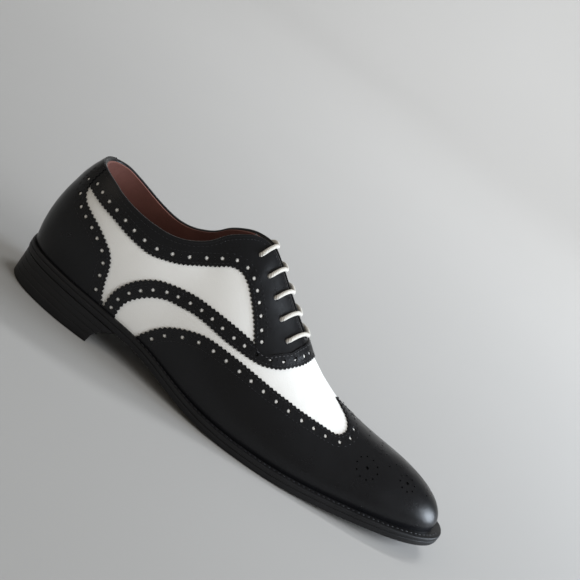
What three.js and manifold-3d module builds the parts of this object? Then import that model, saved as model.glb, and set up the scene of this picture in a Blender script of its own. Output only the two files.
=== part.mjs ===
// A right spectator shoe: a lasted leather upper with overlays, on a welted leather sole and a stacked heel.
// Millimetres. X runs from the back of the heel to the toe, Y to the inner (medial) side, Z up.

import * as THREE from 'three';
import { mergeVertices } from 'three/addons/utils/BufferGeometryUtils.js';
import { TessellateModifier } from 'three/addons/modifiers/TessellateModifier.js';
import Module from 'manifold-3d';

// Driving dimensions
const LENGTH = 305; // outsole, heel to toe
const BALL_WIDTH = 100; // outsole at the ball
const INSTEP = 94; // ridge of the last above the seam where upper and welt meet
const HEEL_HEIGHT = 18; // floor to the outsole under the seat
const TOE_SPRING = 11; // floor to the outsole at the toe
const WELT_MARGIN = 6.5; // how far the welt shows round the toe
const OUTSOLE = 4.2;
const WELT = 2.5;
const WELT_RING = 7; // how far the welt runs in under the upper
const EDGE_ROUND = 1.3; // how far the sole's edge is rounded off
const OVERLAY = 1.2; // the black leather
const WALL = 2; // white leather and lining
const INSOLE = 2.2;
const INSOLE_ROOM = 0.8; // between insole and lining
const TONGUE = 2;
const HEEL_LENGTH = 60.5;
const HEEL_FLARE = 11.5; // how far the breast runs forward at its top
const HEEL_HOLLOW = 5; // how far the breast is hollowed across
const HEEL_INSET = 0.8;
const THROAT_GAP = 4; // between the facings
const HOLE = 4.4; // punched lace holes
const LACE = 2.6;
const LACE_ROOM = 4.0; // between facings and tongue, where the lace runs
const LACE_REST = 0.7; // between the lace and the leather that it lies on
const MEDIAL_LEAD = 6; // how much further forward the seams meet the sole on the inner side
const LEAD_FADE = 0.45; // share of the way up at which that lead has gone
const GAP = 0.3; // between pieces that touch

// Resolution
const COLUMNS = 26; // from heel to toe, on each side of the upper
const ROWS = 9; // from seam to ridge
const SOLE_COLUMNS = 32; // from heel to toe, on each side of the sole
const TOPLINE_COLUMNS = 18; // from the back to the throat, on each side
const TOPLINE_ROWS = 3;
const HEEL_COLUMNS = 12; // from the back to the breast, on each side
const BREAST_COLUMNS = 8;
const TONGUE_COLUMNS = 9; // along it
const TONGUE_ROWS = 3; // on each side of its flat top
const LACE_SIDES = 7;
const SEAM_STEP = 8; // along a cut edge
const CUT_EDGE = 14; // longest edge of a cutter bent over the last

// Cutters
const PATTERN = 100; // scales the way across so that a flat pattern is about as wide as the leather
const PATTERN_EDGE = 1.04 * PATTERN; // just past the sole's edge
const CUT_IN = -6; // from inside the last
const CUT_OUT = 4; // to outside it
const VAMP_MIDDLE = 0.62 * LENGTH;
const COUNTER_REACH = 0.4 * LENGTH;
const WING_REACH = 0.25 * LENGTH;

// The last, section by section. at: share of LENGTH. rise: of HEEL_HEIGHT. spring: of TOE_SPRING.
// ridge, side: of INSTEP. margin: of WELT_MARGIN. The other columns are shares of BALL_WIDTH.
// lateral, medial: half widths of the sole. crown: flat of the ridge. side, bulge: rise and swell of the wall.
const SECTION_COLUMNS = [
  'at', 'lateral', 'medial', 'margin', 'rise', 'spring', 'ridge', 'crown', 'side', 'bulge', 'centre',
];
const SECTIONS = [
  [0.000, 0.290, 0.290, 0.23, 0.98, 0.00, 0.911, 0.288, 0.437, 0.104, 0.000],
  [0.070, 0.305, 0.305, 0.23, 0.99, 0.00, 0.958, 0.265, 0.451, 0.087, 0.000],
  [0.145, 0.341, 0.330, 0.28, 0.96, 0.00, 0.998, 0.240, 0.462, 0.053, 0.000],
  [0.220, 0.360, 0.318, 0.34, 0.86, 0.00, 1.008, 0.220, 0.446, 0.035, 0.000],
  [0.300, 0.366, 0.280, 0.40, 0.65, 0.00, 1.007, 0.195, 0.428, 0.030, 0.000],
  [0.380, 0.415, 0.270, 0.49, 0.32, 0.00, 0.988, 0.175, 0.385, 0.034, 0.005],
  [0.460, 0.471, 0.320, 0.68, 0.08, 0.00, 0.850, 0.160, 0.320, 0.034, 0.010],
  [0.540, 0.500, 0.415, 0.80, 0.00, 0.00, 0.671, 0.158, 0.266, 0.029, 0.015],
  [0.620, 0.501, 0.485, 0.86, 0.00, 0.00, 0.516, 0.165, 0.219, 0.029, 0.015],
  [0.700, 0.469, 0.485, 0.89, 0.00, 0.09, 0.402, 0.175, 0.196, 0.024, 0.015],
  [0.780, 0.420, 0.440, 0.92, 0.00, 0.27, 0.337, 0.180, 0.181, 0.024, 0.015],
  [0.860, 0.369, 0.380, 0.95, 0.00, 0.51, 0.295, 0.182, 0.172, 0.025, 0.015],
  [0.930, 0.338, 0.330, 0.98, 0.00, 0.74, 0.273, 0.187, 0.168, 0.025, 0.015],
  [1.000, 0.314, 0.290, 1.00, 0.00, 1.00, 0.253, 0.188, 0.166, 0.025, 0.015],
];
const HEEL_END = 0.144 * LENGTH; // where the plan starts to round the heel
const TOE_END = 0.82 * LENGTH; // and the toe
const END_POWER = 2.3;
const HEEL_FAN = 0.295 * LENGTH; // where the sections start to fan out round the heel
const TOE_FAN = 0.656 * LENGTH;
const SLOPE_STEP = LENGTH / 300; // over which the ridge's slope is taken
const HEEL_LEVELS = [0, 0.25, 0.5, 0.7, 0.85, 1]; // shares of the heel's height
const HEEL_CURL = 2.5; // power by which its breast runs forward towards the top

// Seams as [share of LENGTH, share of the way up the half section], from the sole up or from back to front.
const TOPLINE = [
  [0.000, 0.512], [0.022, 0.505], [0.056, 0.488], [0.092, 0.462], [0.130, 0.444], [0.169, 0.441],
  [0.210, 0.456], [0.245, 0.492], [0.273, 0.548], [0.289, 0.600], [0.303, 0.665], [0.328, 0.755],
  [0.350, 0.833], [0.370, 0.890], [0.385, 0.925],
];
const COUNTER_EDGE = [
  [0.190, -0.04], [0.187, 0.005], [0.177, 0.030], [0.166, 0.095], [0.157, 0.163], [0.144, 0.210],
  [0.124, 0.242], [0.098, 0.275], [0.069, 0.303], [0.043, 0.333], [0.028, 0.388], [0.018, 0.560],
];
const BAND_TOP = [
  [0.189, 0.010], [0.188, 0.055], [0.191, 0.100], [0.199, 0.147], [0.213, 0.198], [0.231, 0.240],
  [0.250, 0.272], [0.274, 0.298], [0.299, 0.323], [0.325, 0.348], [0.353, 0.371], [0.381, 0.396],
  [0.410, 0.425], [0.441, 0.458], [0.462, 0.478],
];
const FACING_BACK = [
  [0.462, 0.483], [0.446, 0.520], [0.429, 0.550], [0.410, 0.575], [0.389, 0.598], [0.366, 0.602],
  [0.343, 0.572], [0.319, 0.510], [0.290, 0.445], [0.261, 0.390], [0.230, 0.352], [0.202, 0.328],
  [0.171, 0.324], [0.141, 0.331], [0.110, 0.347], [0.080, 0.360], [0.052, 0.375], [0.031, 0.388],
];
const BAND_BOTTOM = [
  [0.219, -0.04], [0.217, 0.010], [0.216, 0.040], [0.219, 0.085], [0.229, 0.128], [0.242, 0.164],
  [0.259, 0.200], [0.281, 0.232], [0.307, 0.256], [0.334, 0.284], [0.361, 0.306], [0.390, 0.327],
  [0.420, 0.353], [0.451, 0.388], [0.479, 0.423], [0.502, 0.460], [0.526, 0.522], [0.540, 0.575],
  [0.554, 0.650], [0.568, 0.745], [0.578, 0.870], [0.582, 1.000],
];
const WING_EDGE = [
  [0.272, -0.04], [0.275, 0.010], [0.282, 0.045], [0.293, 0.092], [0.310, 0.143], [0.331, 0.190],
  [0.354, 0.233], [0.377, 0.270], [0.402, 0.300], [0.431, 0.330], [0.461, 0.360], [0.492, 0.387],
  [0.521, 0.411], [0.552, 0.438], [0.584, 0.470], [0.607, 0.492], [0.631, 0.520], [0.664, 0.558],
  [0.699, 0.600], [0.714, 0.672], [0.718, 0.763], [0.708, 0.870], [0.689, 0.938], [0.665, 1.000],
];
// Lace holes, from the top pair down
const LACE_HOLES = [[0.376, 0.772], [0.413, 0.758], [0.447, 0.742], [0.481, 0.725], [0.515, 0.700]];
const TONGUE_ENDS = [0.345, 0.62]; // shares of LENGTH
const TONGUE_UP = [0.60, 0.80]; // shares of the way up the half section, between which it follows the last

const wasm = await Module();
wasm.setup();

// Natural cubic curve through the values of one column of a table
function spline(xs, ys) {
  const n = xs.length;
  const bend = new Array(n).fill(0);
  const carry = new Array(n).fill(0);
  for (let i = 1; i < n - 1; i++) {
    const before = xs[i] - xs[i - 1];
    const after = xs[i + 1] - xs[i];
    const pivot = 2 * (before + after) - before * carry[i - 1];
    carry[i] = after / pivot;
    const turn = 6 * ((ys[i + 1] - ys[i]) / after - (ys[i] - ys[i - 1]) / before);
    bend[i] = (turn - before * bend[i - 1]) / pivot;
  }
  for (let i = n - 2; i > 0; i--) bend[i] -= carry[i] * bend[i + 1];
  return (x) => {
    const at = THREE.MathUtils.clamp(x, xs[0], xs[n - 1]);
    const found = xs.findIndex((v) => v >= at);
    const i = Math.max(found, 1) - 1;
    const h = xs[i + 1] - xs[i];
    const a = (xs[i + 1] - at) / h;
    const b = 1 - a;
    return a * ys[i] + b * ys[i + 1] + ((a ** 3 - a) * bend[i] + (b ** 3 - b) * bend[i + 1]) * h * h / 6;
  };
}

const SCALES = {
  lateral: BALL_WIDTH, medial: BALL_WIDTH, crown: BALL_WIDTH, bulge: BALL_WIDTH, centre: BALL_WIDTH,
  margin: WELT_MARGIN, rise: HEEL_HEIGHT, spring: TOE_SPRING, ridge: INSTEP, side: INSTEP,
};
const row = {};
for (const [name, scale] of Object.entries(SCALES)) {
  const column = SECTION_COLUMNS.indexOf(name);
  const curve = spline(SECTIONS.map((s) => s[0] * LENGTH), SECTIONS.map((s) => s[column] * scale));
  row[name] = curve;
}
const under = (x) => Math.max(0, row.rise(x) + row.spring(x)); // the outsole's underside
const weltTop = (x) => under(x) + OUTSOLE + GAP + WELT;
const seamHeight = (x) => weltTop(x) + GAP; // where the upper starts

// Stations run close together round the two ends
const stationX = (share) => LENGTH / 2 * (1 - Math.cos(Math.PI * share));
const stationShare = (x) => Math.acos(1 - 2 * x / LENGTH) / Math.PI;

// How much of the half width is left where an end is rounded
function endShare(x) {
  const into = Math.max((HEEL_END - x) / HEEL_END, (x - TOE_END) / (LENGTH - TOE_END), 0);
  return Math.max(0, 1 - Math.min(into, 1) ** END_POWER) ** (1 / END_POWER);
}

// The sole's outline, or one set in from it. side is -1 on the outer side and 1 on the inner side.
function outline(x, side, inset) {
  const half = side < 0 ? row.lateral(x) : row.medial(x);
  let along = x;
  if (x < HEEL_END) along = HEEL_END + (x - HEEL_END) * (HEEL_END - inset) / HEEL_END;
  if (x > TOE_END) along = TOE_END + (x - TOE_END) * (LENGTH - TOE_END - inset) / (LENGTH - TOE_END);
  return new THREE.Vector2(along, side * (half - inset) * endShare(x));
}

// Where a section stands on the ridge: the sections fan out at both ends
function ridgeX(x) {
  if (x < HEEL_FAN) return HEEL_FAN / 2 * (1 + (x / HEEL_FAN) ** 2);
  if (x < TOE_FAN) return x;
  const into = (x - TOE_FAN) / (LENGTH - TOE_FAN);
  return TOE_FAN + (LENGTH - TOE_FAN) / 2 * (2 * into - into * into);
}

// A point of the last: station x, and t from 0 at the seam to 1 on the ridge.
function lastPoint(x, side, t) {
  const foot = outline(x, side, row.margin(x));
  const axis = new THREE.Vector2(ridgeX(x), row.centre(ridgeX(x)));
  const reach = foot.distanceTo(axis);
  const away = foot.clone().sub(axis).divideScalar(reach);
  const height = (at) => seamHeight(at) + row.ridge(at);
  const top = height(axis.x);
  const slope = (height(axis.x + SLOPE_STEP) - height(axis.x - SLOPE_STEP)) / (2 * SLOPE_STEP);
  const start = seamHeight(foot.x);
  const radial = [reach, reach + row.bulge(x), row.crown(x), 0];
  const level = [start, start + row.side(x), top + slope * away.x * row.crown(x), top];
  const weight = [(1 - t) ** 3, 3 * t * (1 - t) ** 2, 3 * t * t * (1 - t), t ** 3];
  const mix = (values) => values.reduce((sum, value, i) => sum + value * weight[i], 0);
  const r = mix(radial);
  return new THREE.Vector3(axis.x + away.x * r, axis.y + away.y * r, mix(level));
}

// The last as one loop: turn 0 at the back of the heel, 1 at the toe by the outer side, 2 back by the inner
function loopPoint(turn, t) {
  const wrapped = ((turn % 2) + 2) % 2;
  return lastPoint(stationX(Math.min(wrapped, 2 - wrapped)), wrapped <= 1 ? -1 : 1, t);
}

// Outward. Both sides of the last end in one point on the ridge, so the normal there is taken just below it.
function loopNormal(turn, share) {
  const step = 0.004;
  const t = Math.min(share, 0.98);
  const along = loopPoint(turn + step, t).sub(loopPoint(turn - step, t));
  const up = loopPoint(turn, t + step).sub(loopPoint(turn, t - step));
  return along.cross(up).normalize();
}

// A point off the last, out along its normal. Both sides share one on the ridge; at the seam it is level.
function skinPoint(turn, t, out) {
  const normal = loopNormal(turn, t);
  if (t > 0.999) normal.add(loopNormal(2 - turn, t)).normalize();
  if (Math.abs(t) < 0.001) normal.setZ(0).normalize();
  return loopPoint(turn, t).addScaledVector(normal, out);
}

function geometryOf(points, faces) {
  const geometry = new THREE.BufferGeometry();
  geometry.setAttribute('position', new THREE.Float32BufferAttribute(points.flatMap((p) => p.toArray()), 3));
  geometry.setIndex(faces.flat());
  return geometry;
}

function toSolid(geometry) {
  const bare = geometry.clone();
  bare.deleteAttribute('normal');
  bare.deleteAttribute('uv');
  const merged = mergeVertices(bare, 1e-4);
  const index = [];
  const source = merged.index.array;
  for (let i = 0; i < source.length; i += 3) {
    const [a, b, c] = source.slice(i, i + 3);
    if (a !== b && b !== c && c !== a) index.push(a, b, c);
  }
  const vertProperties = Float32Array.from(merged.attributes.position.array);
  return new wasm.Manifold(new wasm.Mesh({ numProp: 3, vertProperties, triVerts: Uint32Array.from(index) }));
}

function toGeometry(solid) {
  const mesh = solid.getMesh();
  const geometry = new THREE.BufferGeometry();
  geometry.setAttribute('position', new THREE.Float32BufferAttribute(mesh.vertProperties, 3));
  geometry.setIndex(Array.from(mesh.triVerts));
  return geometry;
}

// Two triangles for each cell of a grid of numbers, with the corners in turn: a, b, c, d
const cell = (a, b, c, d) => [[a, b, c], [a, c, d]];

// A leather shell over the whole last, from one distance off it to another, open underneath
function shell(outer, inner) {
  const points = [];
  const faces = [];
  const count = 2 * COLUMNS;
  const vertex = (layer, k, j) => {
    const column = j === ROWS ? Math.min(k % count, (count - k) % count) : k % count;
    return (layer * count + column) * (ROWS + 1) + j;
  };
  for (const out of [outer, inner]) {
    for (let k = 0; k < count; k++) {
      for (let j = 0; j <= ROWS; j++) points.push(skinPoint(k / COLUMNS, j / ROWS, out));
    }
  }
  for (let k = 0; k < count; k++) {
    faces.push(...cell(vertex(0, k, 0), vertex(1, k, 0), vertex(1, k + 1, 0), vertex(0, k + 1, 0)));
    for (let j = 0; j < ROWS; j++) {
      faces.push(...cell(vertex(0, k, j), vertex(0, k + 1, j), vertex(0, k + 1, j + 1), vertex(0, k, j + 1)));
      faces.push(...cell(vertex(1, k, j), vertex(1, k, j + 1), vertex(1, k + 1, j + 1), vertex(1, k + 1, j)));
    }
  }
  return toSolid(geometryOf(points, faces));
}

// A seam on one side: its table as a smooth line of [x, v], v from -1 at the outer sole to 1 at the inner
function seam(table, side) {
  const place = ([at, up]) => {
    const lead = side > 0 ? MEDIAL_LEAD * Math.max(0, 1 - up / LEAD_FADE) : 0;
    return new THREE.Vector2(at * LENGTH + lead, side * (1 - up) * PATTERN);
  };
  const curve = new THREE.SplineCurve(table.map(place));
  return curve.getSpacedPoints(Math.ceil(curve.getLength() / SEAM_STEP));
}

// A cutter: a flat pattern of [x, v * PATTERN] bent over the last, reaching from inside it to outside it
function bentPattern(points) {
  const flat = new THREE.ExtrudeGeometry(new THREE.Shape(points), { depth: 1, bevelEnabled: false });
  const fine = new TessellateModifier(CUT_EDGE, 12).modify(flat);
  const position = fine.attributes.position;
  for (let i = 0; i < position.count; i++) {
    const v = position.getY(i) / PATTERN;
    const share = stationShare(position.getX(i));
    const turn = v < 0 ? share : 2 - share;
    const out = position.getZ(i) > 0.5 ? CUT_OUT : CUT_IN;
    const normal = loopNormal(turn, 1 - Math.abs(v));
    if (Math.abs(v) < 0.001) normal.add(loopNormal(2 - turn, 1)).normalize();
    const point = loopPoint(turn, 1 - Math.abs(v)).addScaledVector(normal, out);
    position.setXYZ(i, point.x, point.y, point.z);
  }
  return toSolid(fine);
}

// The hole at the collar: all above the topline, cut square to the leather, and a slot down the throat
function opening() {
  const edge = new THREE.SplineCurve(TOPLINE.map(([at, up]) => new THREE.Vector2(at * LENGTH, up)));
  const line = edge.getPoints(TOPLINE_COLUMNS);
  const points = [];
  const vertex = (layer, k, j) => {
    const column = (j === TOPLINE_ROWS ? Math.abs(k) : k) + TOPLINE_COLUMNS;
    return (layer * (2 * TOPLINE_COLUMNS + 1) + column) * (TOPLINE_ROWS + 1) + j;
  };
  for (const out of [CUT_OUT, CUT_IN]) {
    for (let k = -TOPLINE_COLUMNS; k <= TOPLINE_COLUMNS; k++) {
      const { x, y: up } = line[Math.abs(k)];
      for (let j = 0; j <= TOPLINE_ROWS; j++) {
        const t = THREE.MathUtils.lerp(up, 1, j / TOPLINE_ROWS);
        points.push(skinPoint(Math.sign(k) * stationShare(x), t, out));
      }
    }
  }
  const faces = [];
  for (let k = -TOPLINE_COLUMNS; k < TOPLINE_COLUMNS; k++) {
    faces.push(...cell(vertex(0, k, 0), vertex(1, k, 0), vertex(1, k + 1, 0), vertex(0, k + 1, 0)));
    for (let j = 0; j < TOPLINE_ROWS; j++) {
      faces.push(...cell(vertex(0, k, j), vertex(0, k + 1, j), vertex(0, k + 1, j + 1), vertex(0, k, j + 1)));
      faces.push(...cell(vertex(1, k, j), vertex(1, k, j + 1), vertex(1, k + 1, j + 1), vertex(1, k + 1, j)));
    }
  }
  for (let j = 0; j < TOPLINE_ROWS; j++) {
    const k = TOPLINE_COLUMNS;
    faces.push(...cell(vertex(0, k, j + 1), vertex(0, k, j), vertex(1, k, j), vertex(1, k, j + 1)));
    faces.push(...cell(vertex(0, -k, j), vertex(0, -k, j + 1), vertex(1, -k, j + 1), vertex(1, -k, j)));
  }
  const throatStart = TOPLINE.at(-2)[0] * LENGTH;
  const throatEnd = LACE_HOLES.at(-1)[0] * LENGTH + 2 * HOLE;
  const slot = new THREE.BoxGeometry(throatEnd - throatStart, THROAT_GAP, 2 * INSTEP);
  slot.translate((throatStart + throatEnd) / 2, 0, seamHeight(throatEnd) + INSTEP / 4 + INSTEP);
  return toSolid(geometryOf(points, faces)).add(toSolid(slot));
}

// Holes for the lace, square to the leather
function laceHoles() {
  const holes = LACE_HOLES.flatMap(([at, up]) => [0, 1].map((inner) => {
    const share = stationShare(at * LENGTH);
    const turn = inner ? 2 - share : share;
    const punch = new THREE.CylinderGeometry(HOLE / 2, HOLE / 2, 4 * (OVERLAY + WALL), 8);
    const turned = new THREE.Quaternion().setFromUnitVectors(new THREE.Vector3(0, 1, 0), loopNormal(turn, up));
    punch.applyQuaternion(turned);
    return toSolid(punch.translate(...loopPoint(turn, up).toArray()));
  }));
  return wasm.Manifold.union(holes);
}

const leather = shell(0, -OVERLAY);
const mouth = opening();
const holes = laceHoles();

function upper() {
  return shell(-OVERLAY - GAP, -OVERLAY - GAP - WALL).subtract(mouth).subtract(holes);
}

// Everything in front of the counter's edge, over the whole width, as far as the vamp
function aheadOfCounter() {
  const corners = [-1, 1].map((side) => new THREE.Vector2(VAMP_MIDDLE, side * PATTERN_EDGE));
  return [...seam(COUNTER_EDGE, -1).reverse(), ...corners, ...seam(COUNTER_EDGE, 1)];
}

function heelCounter() {
  const back = leather.trimByPlane([-1, 0, 0], -COUNTER_REACH).subtract(mouth);
  return back.subtract(bentPattern(aheadOfCounter()));
}

// The white quarter that shows between counter, collar strip, facing and side band
function window(side) {
  const line = [...seam(BAND_TOP, side), ...seam(FACING_BACK, side), ...seam(COUNTER_EDGE, side).reverse()];
  return bentPattern(side < 0 ? line : line.reverse());
}

function facing() {
  const rim = (side) => seam(COUNTER_EDGE, side).map((p) => new THREE.Vector2(p.x + GAP, p.y));
  const line = [
    ...seam(BAND_BOTTOM, -1), ...seam(BAND_BOTTOM, 1).reverse().slice(1), ...rim(1), ...rim(-1).reverse(),
  ];
  const cut = bentPattern(line).intersect(leather).subtract(mouth).subtract(holes);
  return cut.subtract(window(-1)).subtract(window(1));
}

function wingCap() {
  const corners = [1, -1].map((side) => new THREE.Vector2(0.8 * WING_REACH, side * PATTERN_EDGE));
  const behind = [...seam(WING_EDGE, -1), ...seam(WING_EDGE, 1).reverse().slice(1), ...corners];
  return leather.trimByPlane([1, 0, 0], WING_REACH).subtract(bentPattern(behind));
}

// A ring of points round the sole, all set in from the outline and at a height that follows X
function ring(inset, height) {
  const points = [];
  for (let k = 0; k < 2 * SOLE_COLUMNS; k++) {
    const share = Math.min(k, 2 * SOLE_COLUMNS - k) / SOLE_COLUMNS;
    const x = stationX(share);
    const p = outline(x, k <= SOLE_COLUMNS ? -1 : 1, typeof inset === 'function' ? inset(x) : inset);
    points.push(new THREE.Vector3(p.x, p.y, height(p.x)));
  }
  return points;
}

function wallFaces(lower, upper, count) {
  const faces = [];
  for (let k = 0; k < count; k++) {
    const next = (k + 1) % count;
    faces.push(...cell(lower + k, lower + next, upper + next, upper + k));
  }
  return faces;
}

// A solid plate of stacked rings, closed at the bottom and the top by strips across it
function plate(rings) {
  const count = 2 * SOLE_COLUMNS;
  const top = (rings.length - 1) * count;
  const faces = rings.slice(1).flatMap((_, i) => wallFaces(i * count, (i + 1) * count, count));
  for (let k = 0; k < SOLE_COLUMNS; k++) {
    const [a, b, c, d] = [k, k + 1, (count - k - 1) % count, (count - k) % count];
    faces.push(...cell(d, c, b, a), ...cell(top + a, top + b, top + c, top + d));
  }
  return toSolid(geometryOf(rings.flat(), faces));
}

function outsole() {
  const low = (x) => under(x);
  const rings = [
    ring(EDGE_ROUND, low),
    ring(EDGE_ROUND / 4, (x) => low(x) + EDGE_ROUND),
    ring(0, (x) => low(x) + OUTSOLE * 0.7),
    ring(0, (x) => low(x) + OUTSOLE),
  ];
  return plate(rings);
}

const weltInset = (x) => row.margin(x) + WELT_RING;

function welt() {
  const low = (x) => weltTop(x) - WELT;
  const rings = [
    ring(0, low),
    ring(EDGE_ROUND / 5, (x) => low(x) + WELT * 0.6),
    ring(EDGE_ROUND * 0.8, weltTop),
    ring(weltInset, weltTop),
    ring(weltInset, low),
  ];
  const count = 2 * SOLE_COLUMNS;
  const faces = rings.flatMap((_, i) => wallFaces(i * count, ((i + 1) % rings.length) * count, count));
  return toSolid(geometryOf(rings.flat(), faces));
}

function insole() {
  const liningInset = (x) => row.margin(x) + OVERLAY + GAP + WALL + INSOLE_ROOM;
  const fillInset = (x) => weltInset(x) + GAP;
  const top = plate([ring(liningInset, seamHeight), ring(liningInset, (x) => seamHeight(x) + INSOLE)]);
  const fill = plate([
    ring(fillInset, (x) => weltTop(x) - WELT),
    ring(fillInset, (x) => seamHeight(x) + INSOLE / 2),
  ]);
  return top.add(fill);
}

// The heel: levels from floor to outsole, each a half loop round the seat closed by the hollowed breast
function heel() {
  const fanShare = (i) => 1 - Math.cos(Math.PI / 2 * i / HEEL_COLUMNS);
  const points = [];
  for (const level of HEEL_LEVELS) {
    const breast = HEEL_LENGTH + HEEL_FLARE * level ** HEEL_CURL;
    const place = (x, side) => {
      const p = outline(x, side, HEEL_INSET);
      return new THREE.Vector3(p.x, p.y, level * (under(p.x) - GAP));
    };
    const fan = Array.from({ length: HEEL_COLUMNS + 1 }, (_, i) => breast * fanShare(i));
    points.push(...fan.map((x) => place(x, -1)));
    const [outer, inner] = [-1, 1].map((side) => outline(breast, side, HEEL_INSET).y);
    for (let i = 1; i < BREAST_COLUMNS; i++) {
      const share = i / BREAST_COLUMNS;
      const x = breast - HEEL_HOLLOW * Math.sin(Math.PI * share);
      points.push(new THREE.Vector3(x, outer + (inner - outer) * share, level * (under(x) - GAP)));
    }
    points.push(...fan.slice(1).reverse().map((x) => place(x, 1)));
  }
  const count = 2 * HEEL_COLUMNS + BREAST_COLUMNS;
  const faces = HEEL_LEVELS.slice(1).flatMap((_, i) => wallFaces(i * count, (i + 1) * count, count));
  const flat = points.slice(0, count).map((p) => new THREE.Vector2(p.x, p.y));
  const top = (HEEL_LEVELS.length - 1) * count;
  for (const [a, b, c] of THREE.ShapeUtils.triangulateShape(flat, [])) {
    faces.push([c, b, a], [top + a, top + b, top + c]);
  }
  return toSolid(geometryOf(points, faces));
}

function tongue() {
  const outer = -(OVERLAY + GAP + WALL + LACE_ROOM);
  const upAt = (j) => THREE.MathUtils.lerp(...TONGUE_UP, j / TONGUE_ROWS);
  const sideUps = Array.from({ length: TONGUE_ROWS + 1 }, (_, j) => upAt(j));
  const wide = 2 * sideUps.length;
  const points = [];
  for (const out of [outer, outer - TONGUE]) {
    for (let i = 0; i <= TONGUE_COLUMNS; i++) {
      const share = stationShare(LENGTH * THREE.MathUtils.lerp(...TONGUE_ENDS, i / TONGUE_COLUMNS));
      points.push(...sideUps.map((up) => skinPoint(share, up, out)));
      points.push(...sideUps.toReversed().map((up) => skinPoint(2 - share, up, out)));
    }
  }
  const vertex = (layer, i, j) => (layer * (TONGUE_COLUMNS + 1) + i) * wide + j;
  const faces = [];
  for (let i = 0; i < TONGUE_COLUMNS; i++) {
    for (let j = 0; j < wide - 1; j++) {
      faces.push(...cell(vertex(0, i, j), vertex(0, i + 1, j), vertex(0, i + 1, j + 1), vertex(0, i, j + 1)));
      faces.push(...cell(vertex(1, i, j), vertex(1, i, j + 1), vertex(1, i + 1, j + 1), vertex(1, i + 1, j)));
    }
    const j = wide - 1;
    faces.push(...cell(vertex(0, i, 0), vertex(1, i, 0), vertex(1, i + 1, 0), vertex(0, i + 1, 0)));
    faces.push(...cell(vertex(0, i, j), vertex(0, i + 1, j), vertex(1, i + 1, j), vertex(1, i, j)));
  }
  for (let j = 0; j < wide - 1; j++) {
    const i = TONGUE_COLUMNS;
    faces.push(...cell(vertex(0, 0, j), vertex(0, 0, j + 1), vertex(1, 0, j + 1), vertex(1, 0, j)));
    faces.push(...cell(vertex(0, i, j), vertex(1, i, j), vertex(1, i, j + 1), vertex(0, i, j + 1)));
  }
  return toSolid(geometryOf(points, faces));
}

// A route that a tube follows point by point, close together in the bends and far apart on the straights
class Route extends THREE.Curve {
  constructor(points) {
    super();
    this.points = points;
  }

  getPoint(share, target = new THREE.Vector3()) {
    const place = share * (this.points.length - 1);
    const i = Math.min(Math.floor(place), this.points.length - 2);
    return target.lerpVectors(this.points[i], this.points[i + 1], place - i);
  }

  getPointAt(share, target) {
    return this.getPoint(share, target);
  }

  getTangentAt(share, target = new THREE.Vector3()) {
    const i = Math.round(share * (this.points.length - 1));
    const before = this.points[Math.max(i - 1, 0)];
    const after = this.points[Math.min(i + 1, this.points.length - 1)];
    return target.subVectors(after, before).normalize();
  }
}

function tube(points) {
  const circle = new THREE.EllipseCurve(0, 0, LACE / 2, LACE / 2).getPoints(LACE_SIDES);
  const section = new THREE.Shape(circle.slice(0, LACE_SIDES));
  const extrudePath = new Route(points);
  return toSolid(new THREE.ExtrudeGeometry(section, { steps: points.length - 1, extrudePath }));
}

// The lace: a bar over each pair of holes, its legs through them, and a run under each facing
function lace() {
  const over = LACE / 2 + LACE_REST;
  const below = -(OVERLAY + GAP + WALL + LACE_ROOM - LACE_REST - LACE / 2);
  const bend = LACE * 0.75;
  const turnOf = (at, side) => (side < 0 ? stationShare(at * LENGTH) : 2 - stationShare(at * LENGTH));
  const bars = LACE_HOLES.map(([at, up]) => {
    const half = (side) => {
      const turn = turnOf(at, side);
      const foot = loopPoint(turn, up);
      const out = loopNormal(turn, up);
      const inward = loopPoint(turn, up + 0.05).sub(foot).normalize();
      const offset = (high, along) => foot.clone().addScaledVector(out, high).addScaledVector(inward, along);
      const arc = [0, 0.25, 0.5].map((quarter) => offset(
        over - bend + bend * Math.sin(Math.PI * quarter), bend - bend * Math.cos(Math.PI * quarter),
      ));
      const flat = [0.5, 0.85].map((part) => skinPoint(turn, up + (1 - up) * part, over));
      return [offset(below, 0), ...arc, ...flat];
    };
    return tube([...half(-1), skinPoint(turnOf(at, -1), 1, over), ...half(1).reverse()]);
  });
  const runs = [-1, 1].map((side) => tube(
    LACE_HOLES.map(([at, up]) => skinPoint(turnOf(at, side), up, below)),
  ));
  return wasm.Manifold.union([...bars, ...runs]);
}

const BLACK = { color: 0x1b1b1e, roughness: 0.35, metalness: 0 };
const WHITE = { color: 0xe9e8e4, roughness: 0.5, metalness: 0 };
const SOLE_BLACK = { color: 0x17171a, roughness: 0.4, metalness: 0 };
const TAN = { color: 0x6b3a2b, roughness: 0.6, metalness: 0 };
const CREAM = { color: 0xddd6c6, roughness: 0.8, metalness: 0 };

const group = new THREE.Group();
const pieces = {
  outsole: [outsole, SOLE_BLACK],
  welt: [welt, SOLE_BLACK],
  heel: [heel, SOLE_BLACK],
  upper: [upper, WHITE],
  wing_cap: [wingCap, BLACK],
  heel_counter: [heelCounter, BLACK],
  facing: [facing, BLACK],
  tongue: [tongue, BLACK],
  insole: [insole, TAN],
  lace: [lace, CREAM],
};
for (const [name, [make, look]] of Object.entries(pieces)) {
  const mesh = new THREE.Mesh(toGeometry(make()), new THREE.MeshStandardMaterial(look));
  mesh.name = name;
  group.add(mesh);
}

// The part's own frame: the middle of its footprint, on the floor
const box = new THREE.Box3().setFromObject(group);
const middle = box.getCenter(new THREE.Vector3());
group.position.set(-middle.x, -middle.y, -box.min.z);

export default group;
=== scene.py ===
"""A right spectator shoe: white leather under black punched overlays, on a welted sole and stacked heel."""

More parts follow.
